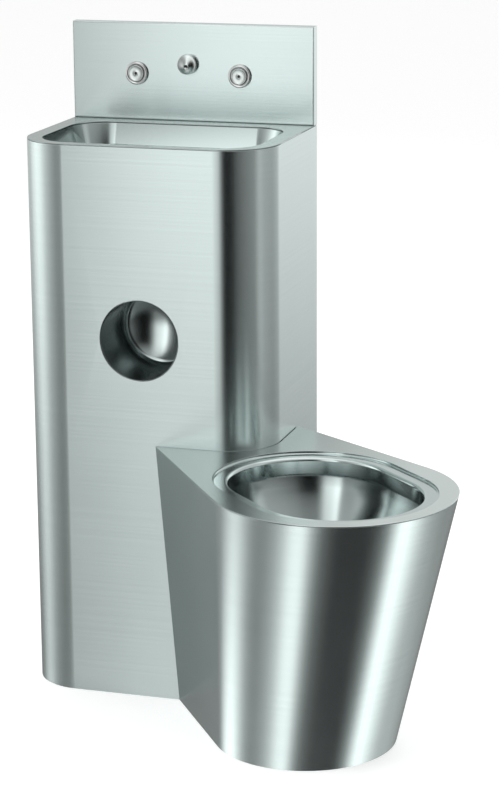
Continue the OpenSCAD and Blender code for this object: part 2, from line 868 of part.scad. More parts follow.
module spout() {
    base_r = spout_d / 2;
    nose_r = base_r * spout_nose_share;
    cone_l = spout_l * spout_cone_share;
    nose_l = spout_l - cone_l;
    ball_r = (nose_r * nose_r + nose_l * nose_l) / (2 * nose_l);
    bore_r = outlet_d / 2;
    color("silver") at_spout() difference() {
        union() {
            translate([0, face_y, 0]) rotate([90, 0, 0]) rotate_extrude() intersection() {
                square([base_r, spout_l]);
                union() {
                    polygon([[0, 0], [base_r, 0], [nose_r, cone_l], [0, cone_l]]);
                    difference() {
                        translate([0, spout_l - ball_r]) circle(r = ball_r);
                        square([2 * ball_r, 2 * cone_l], center = true);
                    }
                }
            }
            bar_y(spout_shank_d / 2, face_y, shank_end);
        }
        bar_y(bore_r - washer_thin, face_y - outlet_set, shank_end + overrun);
        translate([0, face_y - outlet_set, 0]) rotate([90 + outlet_tilt, 0, 0])
            cylinder(r = bore_r, h = spout_d);
    }
}

module spout_seal() {
    color("dimgray") at_spout() translate([0, face_y, 0])
        ring_y(spout_d / 2 - washer_thin, spout_shank_d / 2 + seat_gap, washer_thin);
}

module spout_nut() {
    color("gainsboro") at_spout() translate([0, -splash_t + sheet_t, 0])
        hex_nut_y(spout_shank_d + 2 * hex_nut_over, hex_nut_t, spout_shank_d / 2 + seat_gap);
}

// The cap on the end of the spout's shank, with its port for the tube underneath.
module spout_union() {
    cap_y = shank_end - union_l / 2;
    color("gold") at_spout() difference() {
        union() {
            bar_y(union_d / 2, cap_y, valve_mid_y + union_l / 2);
            translate([0, valve_mid_y, -union_d / 2 - union_port_l])
                cylinder(r = tube_d / 2 + port_wall, h = union_port_l + union_d / 2);
        }
        bar_y(spout_shank_d / 2 + seat_gap, cap_y - overrun, shank_end);
        bar_y(outlet_d / 2, shank_end - overrun, valve_mid_y + outlet_d / 2);
        translate([0, valve_mid_y, -union_d / 2 - union_port_l - overrun])
            cylinder(r = tube_d / 2 + seat_gap, h = union_port_l + overrun);
        translate([0, valve_mid_y, -union_d]) cylinder(r = outlet_d / 2, h = union_d);
    }
}

// The tube's way: down from the basin valve, across and up to the spout's union.
module tube_way(r, extra) {
    left = fittings_x - button_spacing / 2;
    run_l = button_spacing / 2 - 2 * tube_bend_r;
    valve_foot = button_z - valve_d / 2;
    run_z = valve_foot - tube_drop;
    union_foot = spout_z - union_d / 2;
    translate([0, valve_mid_y, 0]) {
        translate([left, 0, run_z + tube_bend_r])
            cylinder(r = r, h = valve_foot - run_z - tube_bend_r + extra);
        translate([left + tube_bend_r, 0, run_z + tube_bend_r])
            rotate([0, 0, 180]) mirror([0, 0, 1]) bend_bar(r, tube_bend_r, 90);
        translate([0, 0, run_z]) bar_x(r, left + tube_bend_r, left + tube_bend_r + run_l);
        translate([fittings_x - tube_bend_r, 0, run_z + tube_bend_r])
            mirror([0, 0, 1]) bend_bar(r, tube_bend_r, 90);
        translate([fittings_x, 0, run_z + tube_bend_r])
            cylinder(r = r, h = union_foot - run_z - tube_bend_r + extra);
    }
}

module mixed_tube() {
    color("chocolate") difference() {
        tube_way(tube_d / 2, 0);
        tube_way(tube_d / 2 - washer_thin, overrun);
    }
}

// Places its children at a push button's axis: side -1 for the basin, 1 for the flush.
module at_button(side) {
    translate([fittings_x + side * button_spacing / 2, 0, button_z]) children();
}

// A push button: a head with a small sunk dot in its middle, and the rod that reaches the valve.
module push_button(side) {
    front_y = face_y - bezel_h - button_proud;
    rod_end = valve_y + valve_room_l + rod_play;
    color("silver") at_button(side) difference() {
        union() {
            bar_y(button_d / 2, front_y, front_y + button_head);
            bar_y(rod_d / 2, front_y + button_head, rod_end);
        }
        bar_y(dot_r, front_y - overrun, front_y + dot_t);
    }
}

// The ring round a push button with the threaded shank that passes through the wall.
module bezel(side) {
    head_room = button_proud + button_head + chamber_l;
    front_y = face_y - bezel_h;
    chamfer = bezel_h / 3;
    color("silver") at_button(side) difference() {
        union() {
            bar_y(bezel_d / 2, front_y + chamfer, face_y);
            translate([0, front_y, 0]) rotate([-90, 0, 0])
                cylinder(r1 = bezel_d / 2 - chamfer, r2 = bezel_d / 2, h = chamfer);
            bar_y(shank_d / 2, face_y, shank_end);
        }
        bar_y(button_d / 2 + run_gap, front_y - overrun, front_y + head_room - 2 * button_proud);
        bar_y(rod_d / 2 + run_gap, front_y - overrun, shank_end + overrun);
    }
}

// A point on a coil: turn is the angle along it and around is the angle round its wire.
function coil_point(turn, around, rise) = let (r = coil_d / 2 + coil_wire / 2 * cos(around))
    [r * cos(turn), rise + coil_wire / 2 * sin(around), r * sin(turn)];

// A spring between a push button's head and the floor of its chamber.
module button_spring(side) {
    head_y = face_y - bezel_h - button_proud + button_head;
    floor_y = face_y - bezel_h + button_head + chamber_l - button_proud;
    rings = coil_turns * coil_steps;
    length = floor_y - head_y - coil_wire;
    points = [for (i = [0 : rings], j = [0 : coil_sides - 1])
        coil_point(360 * i / coil_steps, 360 * j / coil_sides, length * i / rings)];
    sides = [for (i = [0 : rings - 1], j = [0 : coil_sides - 1], half = [0, 1])
        let (k = (j + 1) % coil_sides, a = i * coil_sides, b = a + coil_sides)
        half == 0 ? [a + j, a + k, b + j] : [a + k, b + k, b + j]];
    ends = [for (j = [1 : coil_sides - 2], far = [0, 1])
        let (a = rings * coil_sides) far == 0 ? [0, j + 1, j] : [a, a + j, a + j + 1]];
    color("dimgray") at_button(side) translate([0, head_y + coil_wire / 2, 0])
        polyhedron(points = points, faces = concat(sides, ends));
}

module button_seal(side) {
    color("dimgray") at_button(side) translate([0, face_y, 0])
        ring_y(bezel_d / 2 - washer_thin, shank_d / 2 + seat_gap, washer_thin);
}

module button_nut(side) {
    color("gainsboro") at_button(side) translate([0, -splash_t + sheet_t, 0])
        hex_nut_y(shank_d + 2 * hex_nut_over, hex_nut_t, shank_d / 2 + seat_gap);
}

// A round bar from a valve's axis out of its side.
module side_port(side, r, l) {
    rotate([0, 90 * side, 0]) cylinder(r = r, h = valve_d / 2 + l);
}

// A valve body on the end of a shank, with its inlet at the side and its outlet underneath.
module valve(side, inlet_r, outlet_r, outlet_l) {
    color("gold") at_button(side) difference() {
        union() {
            bar_y(valve_d / 2, valve_y, valve_y + valve_l);
            translate([0, valve_mid_y, 0]) {
                side_port(side, inlet_r, port_l);
                side_port(side, inlet_r + port_collar, port_collar_l);
            }
            translate([0, valve_mid_y, -valve_d / 2 - outlet_l])
                cylinder(r = outlet_r, h = valve_d / 2 + outlet_l);
            translate([0, valve_mid_y, -valve_d / 2 - port_collar_l])
                cylinder(r = outlet_r + port_collar, h = valve_d / 2 + port_collar_l);
        }
        bar_y(shank_d / 2 + seat_gap, valve_y - overrun, shank_end + seat_gap);
        bar_y(rod_d / 2 + rod_gap, valve_y, valve_y + valve_room_l + rod_play + button_travel + overrun);
        translate([0, valve_mid_y, 0]) side_port(side, inlet_r - port_wall, port_l + overrun);
        translate([0, valve_mid_y, -valve_d / 2 - outlet_l - overrun])
            cylinder(r = outlet_r - port_wall, h = valve_d / 2 + outlet_l + overrun);
    }
}

module basin_button() {
    push_button(-1);
}

module basin_bezel() {
    bezel(-1);
}

module basin_spring() {
    button_spring(-1);
}

module basin_button_seal() {
    button_seal(-1);
}

module basin_button_nut() {
    button_nut(-1);
}

module basin_valve() {
    valve(-1, port_half_r, tube_d / 2 + seat_gap + port_wall, union_port_l);
}

module flush_button() {
    push_button(1);
}

module flush_bezel() {
    bezel(1);
}

module flush_spring() {
    button_spring(1);
}

module flush_button_seal() {
    button_seal(1);
}

module flush_button_nut() {
    button_nut(1);
}

module flush_valve() {
    valve(1, port_three_quarter_r, port_one_r, port_l);
}

// Places its children at the four studs.
module at_studs() {
    for (side = [-1, 1], z = [stud_low, stud_high])
        translate([side * stud_spacing / 2, 0, z]) children();
}

// Each stud has a collar between the rail and the wall, and a thinner end for its nut.
module wall_studs() {
    color("gainsboro") at_studs() {
        bar_y(stud_inner_d / 2, -sheet_t - rail_t - stud_inner_l, 0);
        bar_y(stud_d / 2 + stud_collar, -sheet_t, 0);
        bar_y(stud_d / 2, -sheet_t, wall_end);
    }
}

module stud_nuts() {
    color("gainsboro") at_studs() translate([0, -sheet_t - rail_t - stud_nut_t, 0])
        hex_nut_y(stud_inner_d + 2 * stud_nut_over, stud_nut_t, stud_inner_d / 2 + seat_gap / 2);
}

column_shell();
column_foot();
rail_top();
rail_bottom();
basin_deck();
basin_bowl();
splashback();
roll_recess();
pan_shroud();
pan_foot();
pan_top();
flush_rim();
pan_bowl();
flush_chamber();
pan_trap();
soil_coupling();
coupling_clamps();
soil_link();
soil_bend();
soil_pipe();
flush_link();
flush_bend();
flush_pipe();
flush_seal();
waste_grid();
grid_screw();
waste_seal();
waste_body();
trap_bend();
trap_nuts();
trap_washers();
waste_pipe();
spout();
spout_seal();
spout_nut();
spout_union();
mixed_tube();
basin_button();
basin_bezel();
basin_spring();
basin_button_seal();
basin_button_nut();
basin_valve();
flush_button();
flush_bezel();
flush_spring();
flush_button_seal();
flush_button_nut();
flush_valve();
wall_studs();
stud_nuts();
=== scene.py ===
import math

import bmesh
import bpy
from mathutils import Matrix, Vector


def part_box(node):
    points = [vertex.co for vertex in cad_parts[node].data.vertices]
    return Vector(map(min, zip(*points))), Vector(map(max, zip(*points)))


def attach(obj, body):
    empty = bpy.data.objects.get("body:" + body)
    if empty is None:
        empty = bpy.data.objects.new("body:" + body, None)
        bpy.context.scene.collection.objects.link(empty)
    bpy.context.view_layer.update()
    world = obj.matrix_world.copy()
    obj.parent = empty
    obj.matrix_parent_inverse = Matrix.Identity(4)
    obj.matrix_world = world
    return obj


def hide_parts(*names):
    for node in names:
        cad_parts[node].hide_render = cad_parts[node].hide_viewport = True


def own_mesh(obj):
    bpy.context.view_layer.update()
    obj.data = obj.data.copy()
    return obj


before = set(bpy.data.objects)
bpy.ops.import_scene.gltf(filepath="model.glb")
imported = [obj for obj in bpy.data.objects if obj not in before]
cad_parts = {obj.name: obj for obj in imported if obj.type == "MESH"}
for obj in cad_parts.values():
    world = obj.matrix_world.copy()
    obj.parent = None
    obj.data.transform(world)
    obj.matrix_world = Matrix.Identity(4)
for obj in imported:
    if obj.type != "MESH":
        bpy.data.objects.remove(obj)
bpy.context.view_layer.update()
up = Vector((0, 0, 1))
weld = 1e-6           # metres, closer than which two points are one
fullTurnSteps = 96    # steps of a part that is turned about its axis
print("frame loaded:", len(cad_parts), "nodes")


# camera, fitted to the corners of the column, the splashback and the pan in a 499 x 800 picture
cameraSetup = {
    "place": (1.231, -3.718, 1.415),
    "turn": 17.15,        # degrees to the left of +Y
    "dip": 14.55,         # degrees below the horizon
    "roll": -0.4,
    "focalPixels": 2528,
    "pictureHeight": 800,
    "sensor": 36,
    "farEnd": 60,
}


def makeCamera(setup):
    turn, dip, roll = (math.radians(setup[key]) for key in ("turn", "dip", "roll"))
    ahead = Vector((-math.sin(turn) * math.cos(dip), math.cos(turn) * math.cos(dip), -math.sin(dip)))
    level = Vector((math.cos(turn), math.sin(turn), 0))
    above = level.cross(ahead)
    right = level * math.cos(roll) + above * math.sin(roll)
    data = bpy.data.cameras.new("camera")
    data.sensor_width = setup["sensor"]
    data.lens = setup["focalPixels"] / setup["pictureHeight"] * setup["sensor"]
    data.clip_end = setup["farEnd"]
    camera = bpy.data.objects.new("camera", data)
    bpy.context.scene.collection.objects.link(camera)
    turned = Matrix((right, right.cross(ahead), -ahead)).transposed().to_4x4()
    camera.matrix_world = Matrix.Translation(setup["place"]) @ turned
    bpy.context.scene.camera = camera


class Wire:
    # an output socket that takes part in sums, so that shader maths reads like maths
    def __init__(self, shader, socket):
        self.shader = shader
        self.socket = socket

    def __add__(self, other):
        return self.shader.maths("ADD", self, other)

    def __sub__(self, other):
        return self.shader.maths("SUBTRACT", self, other)

    def __rsub__(self, other):
        return self.shader.maths("SUBTRACT", other, self)

    def __mul__(self, other):
        return self.shader.maths("MULTIPLY", self, other)

    def __truediv__(self, other):
        return self.shader.maths("DIVIDE", self, other)

    __radd__ = __add__
    __rmul__ = __mul__


class Shader:
    # the node tree of a material or of the world
    def __init__(self, owner):
        owner.use_nodes = True
        self.owner = owner
        self.tree = owner.node_tree
        self.tree.nodes.clear()

    # any node: its settings are set first, then its sockets get their values or links
    def add(self, kind, settings=None, sockets=None, output=0):
        node = self.tree.nodes.new(kind)
        for key, value in (settings or {}).items():
            if key == "stops":
                self.setStops(node.color_ramp, value)
            else:
                setattr(node, key, value)
        for key, value in (sockets or {}).items():
            if isinstance(value, Wire):
                self.tree.links.new(value.socket, node.inputs[key])
            else:
                node.inputs[key].default_value = value
        return Wire(self, node.outputs[output]) if node.outputs else None

    def setStops(self, ramp, stops):
        while len(ramp.elements) < len(stops):
            ramp.elements.new(1)
        for element, (place, level) in zip(ramp.elements, stops):
            element.position = place
            element.color = (level, level, level, 1)

    def maths(self, operation, *values):
        return self.add("ShaderNodeMath", {"operation": operation}, dict(enumerate(values)))

    def objectPlace(self):
        return self.add("ShaderNodeTexCoord", output=3)    # Object coordinates

    def objectPoint(self, scale, centre=(0, 0, 0)):
        moved = tuple(-c * s for c, s in zip(centre, scale))
        return self.add("ShaderNodeMapping", None, {
            "Vector": self.objectPlace(), "Location": moved, "Scale": scale})

    def along(self, axis):
        return self.add("ShaderNodeSeparateXYZ", None, {0: self.objectPlace()}, output=axis)

    # goes from low to high while a value goes from start to end
    def fade(self, value, start, end, low=0.0, high=1.0):
        return self.add("ShaderNodeMapRange", None, {0: value, 1: start, 2: end, 3: low, 4: high})

    # waves per metre are one number, or one for each axis
    def noise(self, waves, detail=2.0, rough=0.5):
        scale = waves if isinstance(waves, tuple) else (waves, waves, waves)
        return self.add("ShaderNodeTexNoise", None, {
            "Vector": self.objectPoint(scale), "Scale": 1.0, "Detail": detail, "Roughness": rough})

    def bump(self, pattern, height):
        return self.add("ShaderNodeBump", None, {"Height": pattern, "Strength": 1.0, "Distance": height})

    def mixColour(self, share, first, second):
        return self.add("ShaderNodeMix", {"data_type": "RGBA"}, {0: share, 6: first, 7: second}, output=2)

    # a value that a pattern between 0 and 1 moves down and up by a share of it
    def uneven(self, value, pattern, share):
        return value * (1 - share) + pattern * (value * share * 2)

    def surface(self, **sockets):
        named = {key.replace("_", " "): value for key, value in sockets.items()}
        shader = self.add("ShaderNodeBsdfPrincipled", None, named)
        self.add("ShaderNodeOutputMaterial", None, {"Surface": shader})


# a colour made paler or darker, with its alpha
def toned(colour, level=1.0):
    return tuple(min(c * level, 1) for c in colour) + (1,)


# ground, pressed or drawn metal. The grain is in waves per metre, one number or one for each axis, and
# height is how deep it is. Cloud is how far the colour wanders, in patches and, by the share "lined", along
# the grain. A shade is painted shade: a darker colour up to "from" on an axis, fading out at "to".
def makeMetal(name, colour, grain, height, rough, stretch=0.0, cloud=0.03, patch=6.0, lined=0.3, shade=None):
    shader = Shader(bpy.data.materials.new(name))
    lines = shader.noise(grain, 3, 0.6)
    broad = shader.noise((patch, patch, patch * 0.6), 3, 0.55)
    tone = broad * (1 - lined) + lines * lined
    tint = shader.mixColour(tone, toned(colour, 1 - cloud), toned(colour, 1 + cloud))
    if shade:
        share = shader.fade(shader.along(shade["axis"]), shade["from"], shade["to"])
        tint = shader.mixColour(share, toned(shade["colour"]), tint)
    shader.surface(
        Base_Color=tint,
        Metallic=1.0,
        Roughness=shader.uneven(rough, broad, 0.12),
        Normal=shader.bump(lines, height),
        Anisotropic=stretch,
        Anisotropic_Rotation=0.25,
    )
    return shader.owner


steel = (0.735, 0.81, 0.80)


# sheet pressed into a smooth hollow, with a fine even grain
def makePressed(name, colour=steel, rough=0.15, shade=None):
    return makeMetal(name, colour, 140, 0.000012, rough, cloud=0.02, shade=shade)


# flat plate, ground along X
def makePlate(name, colour, shade=None):
    return makeMetal(name, colour, (3, 700, 3), 0.00001, 0.26, shade=shade)


turned = {"colour": (0.80, 0.83, 0.82), "darkest": 0.94, "ringsPerMetre": 1100.0, "height": 0.000003,
          "patch": 90}


# turned metal: fine rings about an axis along Y through the given centre
def makeTurned(name, centre, rough):
    shader = Shader(bpy.data.materials.new(name))
    flat = shader.objectPoint((1, 0, 1), centre)
    radius = shader.add("ShaderNodeVectorMath", {"operation": "LENGTH"}, {0: flat}, output=1)
    rings = shader.maths("SINE", radius * (turned["ringsPerMetre"] * 2 * math.pi))
    broad = shader.noise(turned["patch"])
    dark, light = toned(turned["colour"], turned["darkest"]), toned(turned["colour"])
    shader.surface(
        Base_Color=shader.mixColour(broad, dark, light),
        Metallic=1.0,
        Roughness=shader.uneven(rough, broad, 0.1),
        Normal=shader.bump(rings + broad, turned["height"]),
    )
    return shader.owner


# rubber or plastic: moulded, with a faint pebble and a little unevenness of colour
def makeMoulded(name, colour, rough, pebble, height, darkest=0.85, patch=25):
    shader = Shader(bpy.data.materials.new(name))
    fine = shader.noise(pebble, 3)
    broad = shader.noise(patch)
    shader.surface(
        Base_Color=shader.mixColour(broad, toned(colour, darkest), toned(colour)),
        Roughness=shader.uneven(rough, broad, 0.1),
        Normal=shader.bump(fine, height),
    )
    return shader.owner


finishes = {
    "stainless_satin": makeMetal(
        "satinSteel", steel, (1.3, 1.3, 330), 0.000038, 0.24, stretch=0.8, cloud=0.075, lined=0.6),
    "stainless_pressed": makePressed("pressedSteel"),
    "stainless_tube": makeMetal("tubeSteel", (0.60, 0.63, 0.62), 240, 0.00002, 0.36, cloud=0.06, patch=18),
    "polished_steel": makeMetal("polishedSteel", (0.72, 0.75, 0.74), 400, 0.00001, 0.2, patch=30),
    "chrome_ring": makeMetal("chromeRing", (0.74, 0.72, 0.72), 300, 0.000004, 0.12, cloud=0.02, patch=30),
    "raw_brass": makeMetal("rawBrass", (0.70, 0.52, 0.26), 500, 0.00003, 0.34, cloud=0.12, patch=60),
    "copper": makeMetal("copperTube", (0.72, 0.38, 0.24), 300, 0.00002, 0.3, cloud=0.15, patch=40),
    "zinc_steel": makeMetal("zincSteel", (0.60, 0.61, 0.60), 350, 0.00004, 0.32, cloud=0.1, patch=50),
    "spring_steel": makeMetal("springSteel", (0.42, 0.43, 0.44), 600, 0.00002, 0.3, cloud=0.08, patch=80),
    "black_rubber": makeMoulded("blackRubber", (0.022, 0.022, 0.023), 0.6, 900, 0.00006),
    "white_plastic": makeMoulded("whitePlastic", (0.80, 0.80, 0.78), 0.4, 500, 0.00003),
}
print("finishes made:", len(finishes))


# points on an arc in a plane, in degrees
def arc(centre, radius, start, end, steps):
    angles = [math.radians(start + (end - start) * i / steps) for i in range(steps + 1)]
    return [(centre[0] + radius * math.cos(a), centre[1] + radius * math.sin(a)) for a in angles]


def circle(centre, radius, steps):
    return arc(centre, radius, 0, 360, steps)[:-1]


def atHeight(points, height):
    return [Vector((x, y, height)) for x, y in points]


def addLoop(bm, points, closed=True):
    verts = [bm.verts.new(p) for p in points]
    ahead = verts[1:] + verts[:1] if closed else verts[1:]
    return verts, [bm.edges.new(pair) for pair in zip(verts, ahead)]


# extrudes a loop's edges once and sets each new vertex on its own point
def pullLoop(bm, loop, points):
    verts, edges = loop
    made = bmesh.ops.extrude_edge_only(bm, edges=edges)["geom"]
    fresh = {g for g in made if isinstance(g, bmesh.types.BMVert)}
    follow = [next(e.other_vert(v) for e in v.link_edges if e.other_vert(v) in fresh) for v in verts]
    for vert, point in zip(follow, points):
        vert.co = point
    lines = [g for g in made if isinstance(g, bmesh.types.BMEdge) and all(v in fresh for v in g.verts)]
    return follow, lines


def sweepLoop(bm, rings, closed=True):
    first = loop = addLoop(bm, rings[0], closed)
    for points in rings[1:]:
        loop = pullLoop(bm, loop, points)
    return first, loop


# one flat face between an outline's edges and those of its holes
def fillFlat(bm, *edgeLists, normal=(0, 0, 0)):
    edges = [edge for edges in edgeLists for edge in edges]
    bmesh.ops.triangle_fill(bm, use_beauty=True, edges=edges, normal=normal)


# turns a profile of radius and place along Y about an axis at x and z
def spinAt(bm, profile, x, z, steps=fullTurnSteps):
    verts, edges = addLoop(bm, [(x + r, y, z) for r, y in profile], closed=False)
    bmesh.ops.spin(bm, geom=verts + edges, cent=(x, 0, z), axis=(0, 1, 0), dvec=(0, 0, 0),
                   angle=2 * math.pi, steps=steps, use_merge=True)


def cutAlong(bm, faces, point, normal):
    geom = set(faces)
    for face in faces:
        geom.update(face.verts)
        geom.update(face.edges)
    bmesh.ops.bisect_plane(bm, geom=list(geom), dist=weld, plane_co=point, plane_no=normal)


# a closed plan moved inwards by a distance, or outwards where that is less than zero
def insetPlan(points, distance):
    made = []
    for i, point in enumerate(points):
        here, before, after = Vector(point), Vector(points[i - 1]), Vector(points[(i + 1) % len(points)])
        come, leave = (here - before).normalized(), (after - here).normalized()
        inside = [Vector((-way.y, way.x)) for way in (come, leave)]
        made.append(here + (inside[0] + inside[1]) / (1 + inside[0].dot(inside[1])) * distance)
    return made


# the slot under a plate's edge, and the steps of the rounding over it
joint = {"height": 0.0012, "depth": 0.0025, "steps": 4}


# a plate whose outline and holes are functions of an inset and a height, with their upper edges rounded
def addPlate(bm, rings, top, bottom, edge):
    uppers, lowers = [], []
    slotTop = bottom + joint["height"]
    turns = [math.radians(90 * i / joint["steps"]) for i in range(joint["steps"] + 1)]
    for ringAt in rings:
        levels = [ringAt(edge * (1 - math.sin(a)), top - edge * (1 - math.cos(a))) for a in turns]
        levels += [ringAt(0, slotTop), ringAt(joint["depth"], slotTop), ringAt(joint["depth"], bottom)]
        first, last = sweepLoop(bm, levels)
        uppers.append(first[1])
        lowers.append(last[1])
    fillFlat(bm, *uppers)
    fillFlat(bm, *lowers)


# turns the faces away from a point inside the piece, or towards it
def turnFaces(bm, focus, away):
    total = sum(f.normal.dot(f.calc_center_median() - focus) * f.calc_area() for f in bm.faces)
    if (total > 0) != away:
        bmesh.ops.reverse_faces(bm, faces=bm.faces)


# an open sheet faces away from its focus, or towards it, and grows its wall behind its faces
def finishPiece(bm, name, slot, nodes=(), focus=None, away=True, wall=0.0, edge=0.0,
                finish=None, body="unit", sharp=35):
    bmesh.ops.remove_doubles(bm, verts=bm.verts, dist=weld)
    bmesh.ops.recalc_face_normals(bm, faces=bm.faces)
    if focus:
        turnFaces(bm, Vector(focus), away)
    for face in bm.faces:
        face.smooth = True
    for line in bm.edges:
        folded = line.calc_face_angle(0) > math.radians(sharp)
        line.smooth = bool(edge) or not (line.is_boundary or folded)
    mesh = bpy.data.meshes.new(name)
    bm.to_mesh(mesh)
    bm.free()
    mesh.materials.append(finish or finishes[slot])
    piece = bpy.data.objects.new(name, mesh)
    bpy.context.scene.collection.objects.link(piece)
    if wall:
        solid = piece.modifiers.new("wall", "SOLIDIFY")
        solid.thickness = wall
        solid.offset = -1
        solid.use_even_offset = True
    if edge:
        bevel = piece.modifiers.new("edge", "BEVEL")
        bevel.width = edge
        bevel.segments = 2
        bevel.limit_method = "ANGLE"
        bevel.angle_limit = math.radians(sharp)
    even = piece.modifiers.new("even", "WEIGHTED_NORMAL")
    even.keep_sharp = True
    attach(piece, body)
    if nodes:
        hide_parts(*nodes)
    print("made", name, len(mesh.polygons), "faces")
    return piece


# the column's plan, which the deck and the pan's plate share
columnLow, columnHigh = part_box("column_shell")
column = {
    "half": columnHigh.x, "front": columnLow.y, "top": columnHigh.z,
    "corner": 0.080, "steps": 24,
    "sheet": 0.002, "returnWidth": 0.025, "foldRound": 0.0006,
}


def columnCorner(side, gap=0.0):
    middle = (side * (column["half"] - column["corner"]), column["front"] + column["corner"])
    start = -90 if side > 0 else 180
    return arc(middle, column["corner"] + gap, start, start + 90, column["steps"])


# the back's left end, round the front, to the back's right end
def columnPlan():
    return [(-column["half"], 0)] + columnCorner(-1) + columnCorner(1) + [(column["half"], 0)]


# the pan's frame: along its axis from the column's square corner, and across it
panOrigin = Vector((column["half"], column["front"], 0))
panAxis = Vector((math.sqrt(0.5), -math.sqrt(0.5), 0))
panAcross = Vector((math.sqrt(0.5), math.sqrt(0.5), 0))


def panPoint(along, across, height):
    return panOrigin + panAxis * along + panAcross * across + up * height


# the opening from the column into the pan, hidden by the pan. Faces left of cutFrom stay uncut.
doorway = {"half": 0.085, "foot": 0.030, "head": 0.378, "cutFrom": -0.01}


def inDoorway(face):
    middle = face.calc_center_median()
    across = (middle - panOrigin).dot(panAcross)
    return middle.x > 0 and abs(across) < doorway["half"] and doorway["foot"] < middle.z < doorway["head"]


def onUpperFront(face):
    middle = face.calc_center_median()
    return abs(middle.y - column["front"]) < weld and middle.z > doorway["head"]


recess = {
    "radius": 0.060, "straight": 0.110, "dish": 0.018, "height": 0.560, "wall": 0.0015,
    "mouthRound": 0.0018, "mouthStart": 255, "mouthSteps": 5,
    "crease": 0.004, "creaseSteps": 6, "dishSteps": 20,
    "rough": 0.17,
    # painted shade: the cup's walls are darker up to 12 mm short of the crease, fading to plain steel 4 mm
    # past it
    "shade": (0.33, 0.36, 0.36), "shadeFrom": -0.012, "shadeTo": 0.004,    # from the crease inwards
}


def makeColumnShell():
    bm = bmesh.new()
    back = column["half"] - column["returnWidth"]
    plan = [(-back, 0)] + columnPlan() + [(back, 0)]
    sweepLoop(bm, [atHeight(plan, 0), atHeight(plan, column["top"])], closed=False)
    cuts = [((0, 0, doorway[end]), up) for end in ("foot", "head")]
    cuts += [(panPoint(0, side * doorway["half"], 0), panAcross) for side in (-1, 1)]
    for point, normal in cuts:
        near = [face for face in bm.faces if face.calc_center_median().x > doorway["cutFrom"]]
        cutAlong(bm, near, point, normal)
    bmesh.ops.delete(bm, geom=[face for face in bm.faces if inDoorway(face)], context="FACES")
    # the flat front above the pan is filled anew round the roll recess
    front = [face for face in bm.faces if onUpperFront(face)]
    boundary = [line for line in bm.edges if sum(face in front for face in line.link_faces) == 1]
    bmesh.ops.delete(bm, geom=front, context="FACES_ONLY")
    loose = [line for line in bm.edges if not line.link_faces and line not in boundary]
    bmesh.ops.delete(bm, geom=loose, context="EDGES")
    mouth = circle((0, recess["height"]), recess["radius"] + recess["wall"], fullTurnSteps)
    hole = addLoop(bm, [(x, column["front"], z) for x, z in mouth])
    fillFlat(bm, boundary, hole[1], normal=(0, -1, 0))
    finishPiece(bm, "columnShell", "stainless_satin", ["column_shell"],
                focus=(columnLow + columnHigh) / 2, wall=column["sheet"], edge=column["foldRound"])


bowl = {
    "side": 0.026, "front": 0.016, "back": 0.048,    # the deck's strips round the opening
    "corner": 0.056, "steps": 20,
    "floor": 0.735, "flange": 0.008, "sheet": 0.0015,
    "mouthWidth": 0.001, "mouthDrop": 0.0012,
    "fillet": 0.066, "filletSteps": 24, "draw": 0.012,
    "ovalShare": 0.7,                                # how wide the rounding is, of how high it is
    "wasteY": -0.140, "wasteRadius": 0.019,
    "seatRadius": 0.033, "seatDrop": 0.003, "seatSteps": 64,
    "seatEase": ((0.0015, 0.0), (0.0004, 0.0006), (0.0, 0.0015)),    # outwards and down
    # darker than the steel's: painted shade over the basin's inside
    "colour": (0.61, 0.68, 0.67),
}
# the deck's colour is darker than the steel's: painted shade
deck = {"edge": 0.0008, "colour": (0.50, 0.55, 0.54)}
overhead = 2.0    # a height above everything, which open hollows face


# the opening's plan moved inwards: the corners keep their middles and get tighter
def bowlRing(inset, height):
    halfX = column["half"] - bowl["side"] - bowl["corner"]
    near = column["front"] + bowl["front"] + bowl["corner"]
    far = -bowl["back"] - bowl["corner"]
    ring = []
    for i, middle in enumerate(((halfX, far), (-halfX, far), (-halfX, near), (halfX, near))):
        ring += arc(middle, bowl["corner"] - inset, 90 * i, 90 * i + 90, bowl["steps"])
    return atHeight(ring, height)


def makeDeck():
    low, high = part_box("basin_deck")
    rings = (lambda inset, z: atHeight(insetPlan(columnPlan(), inset), z),
             lambda inset, z: bowlRing(-inset, z))
    bm = bmesh.new()
    addPlate(bm, rings, high.z, low.z, deck["edge"])
    finishPiece(bm, "basinDeck", "stainless_satin", ["basin_deck"],
                finish=makePlate("deckShadedSteel", deck["colour"]))


def makeBowl():
    bm = bmesh.new()
    top, floor = column["top"], bowl["floor"]
    ballHeight = floor + bowl["fillet"]
    lean = math.degrees(math.atan2(bowl["draw"], top - ballHeight))
    deep = bowl["draw"] + bowl["fillet"]
    profile = [(-bowl["flange"], top), (-bowl["mouthWidth"], top), (0.0, top - bowl["mouthDrop"])]
    rounding = arc((0, ballHeight), bowl["fillet"], lean, -90, bowl["filletSteps"])
    profile += [((deep - x) * bowl["ovalShare"], z) for x, z in rounding]
    floorEdge = sweepLoop(bm, [bowlRing(inset, z) for inset, z in profile])[1]
    seat = floor - bowl["seatDrop"]
    steps = [(bowl["seatRadius"] + out, floor - down) for out, down in bowl["seatEase"]]
    steps += [(bowl["seatRadius"], seat), (bowl["wasteRadius"], seat)]
    waste = (0, bowl["wasteY"])
    seatEdge = sweepLoop(bm, [atHeight(circle(waste, r, bowl["seatSteps"]), z) for r, z in steps])[0]
    fillFlat(bm, floorEdge[1], seatEdge[1], normal=up)
    finishPiece(bm, "basinBowl", "stainless_pressed", ["basin_bowl"],
                focus=(*waste, overhead), away=False, wall=bowl["sheet"], sharp=60,
                finish=makePressed("basinShadedSteel", bowl["colour"]))


splash = {
    "bend": 0.0021, "bendSteps": 6,
    "buttonX": (-0.0895, 0.0775), "buttonZ": 0.922, "shankHole": 0.0142,
    "spoutX": -0.006, "spoutZ": 0.938, "spoutHole": 0.0082,
    "holeSteps": 48,
    "washer": 0.001,    # between its face and the fittings that stand on it
}


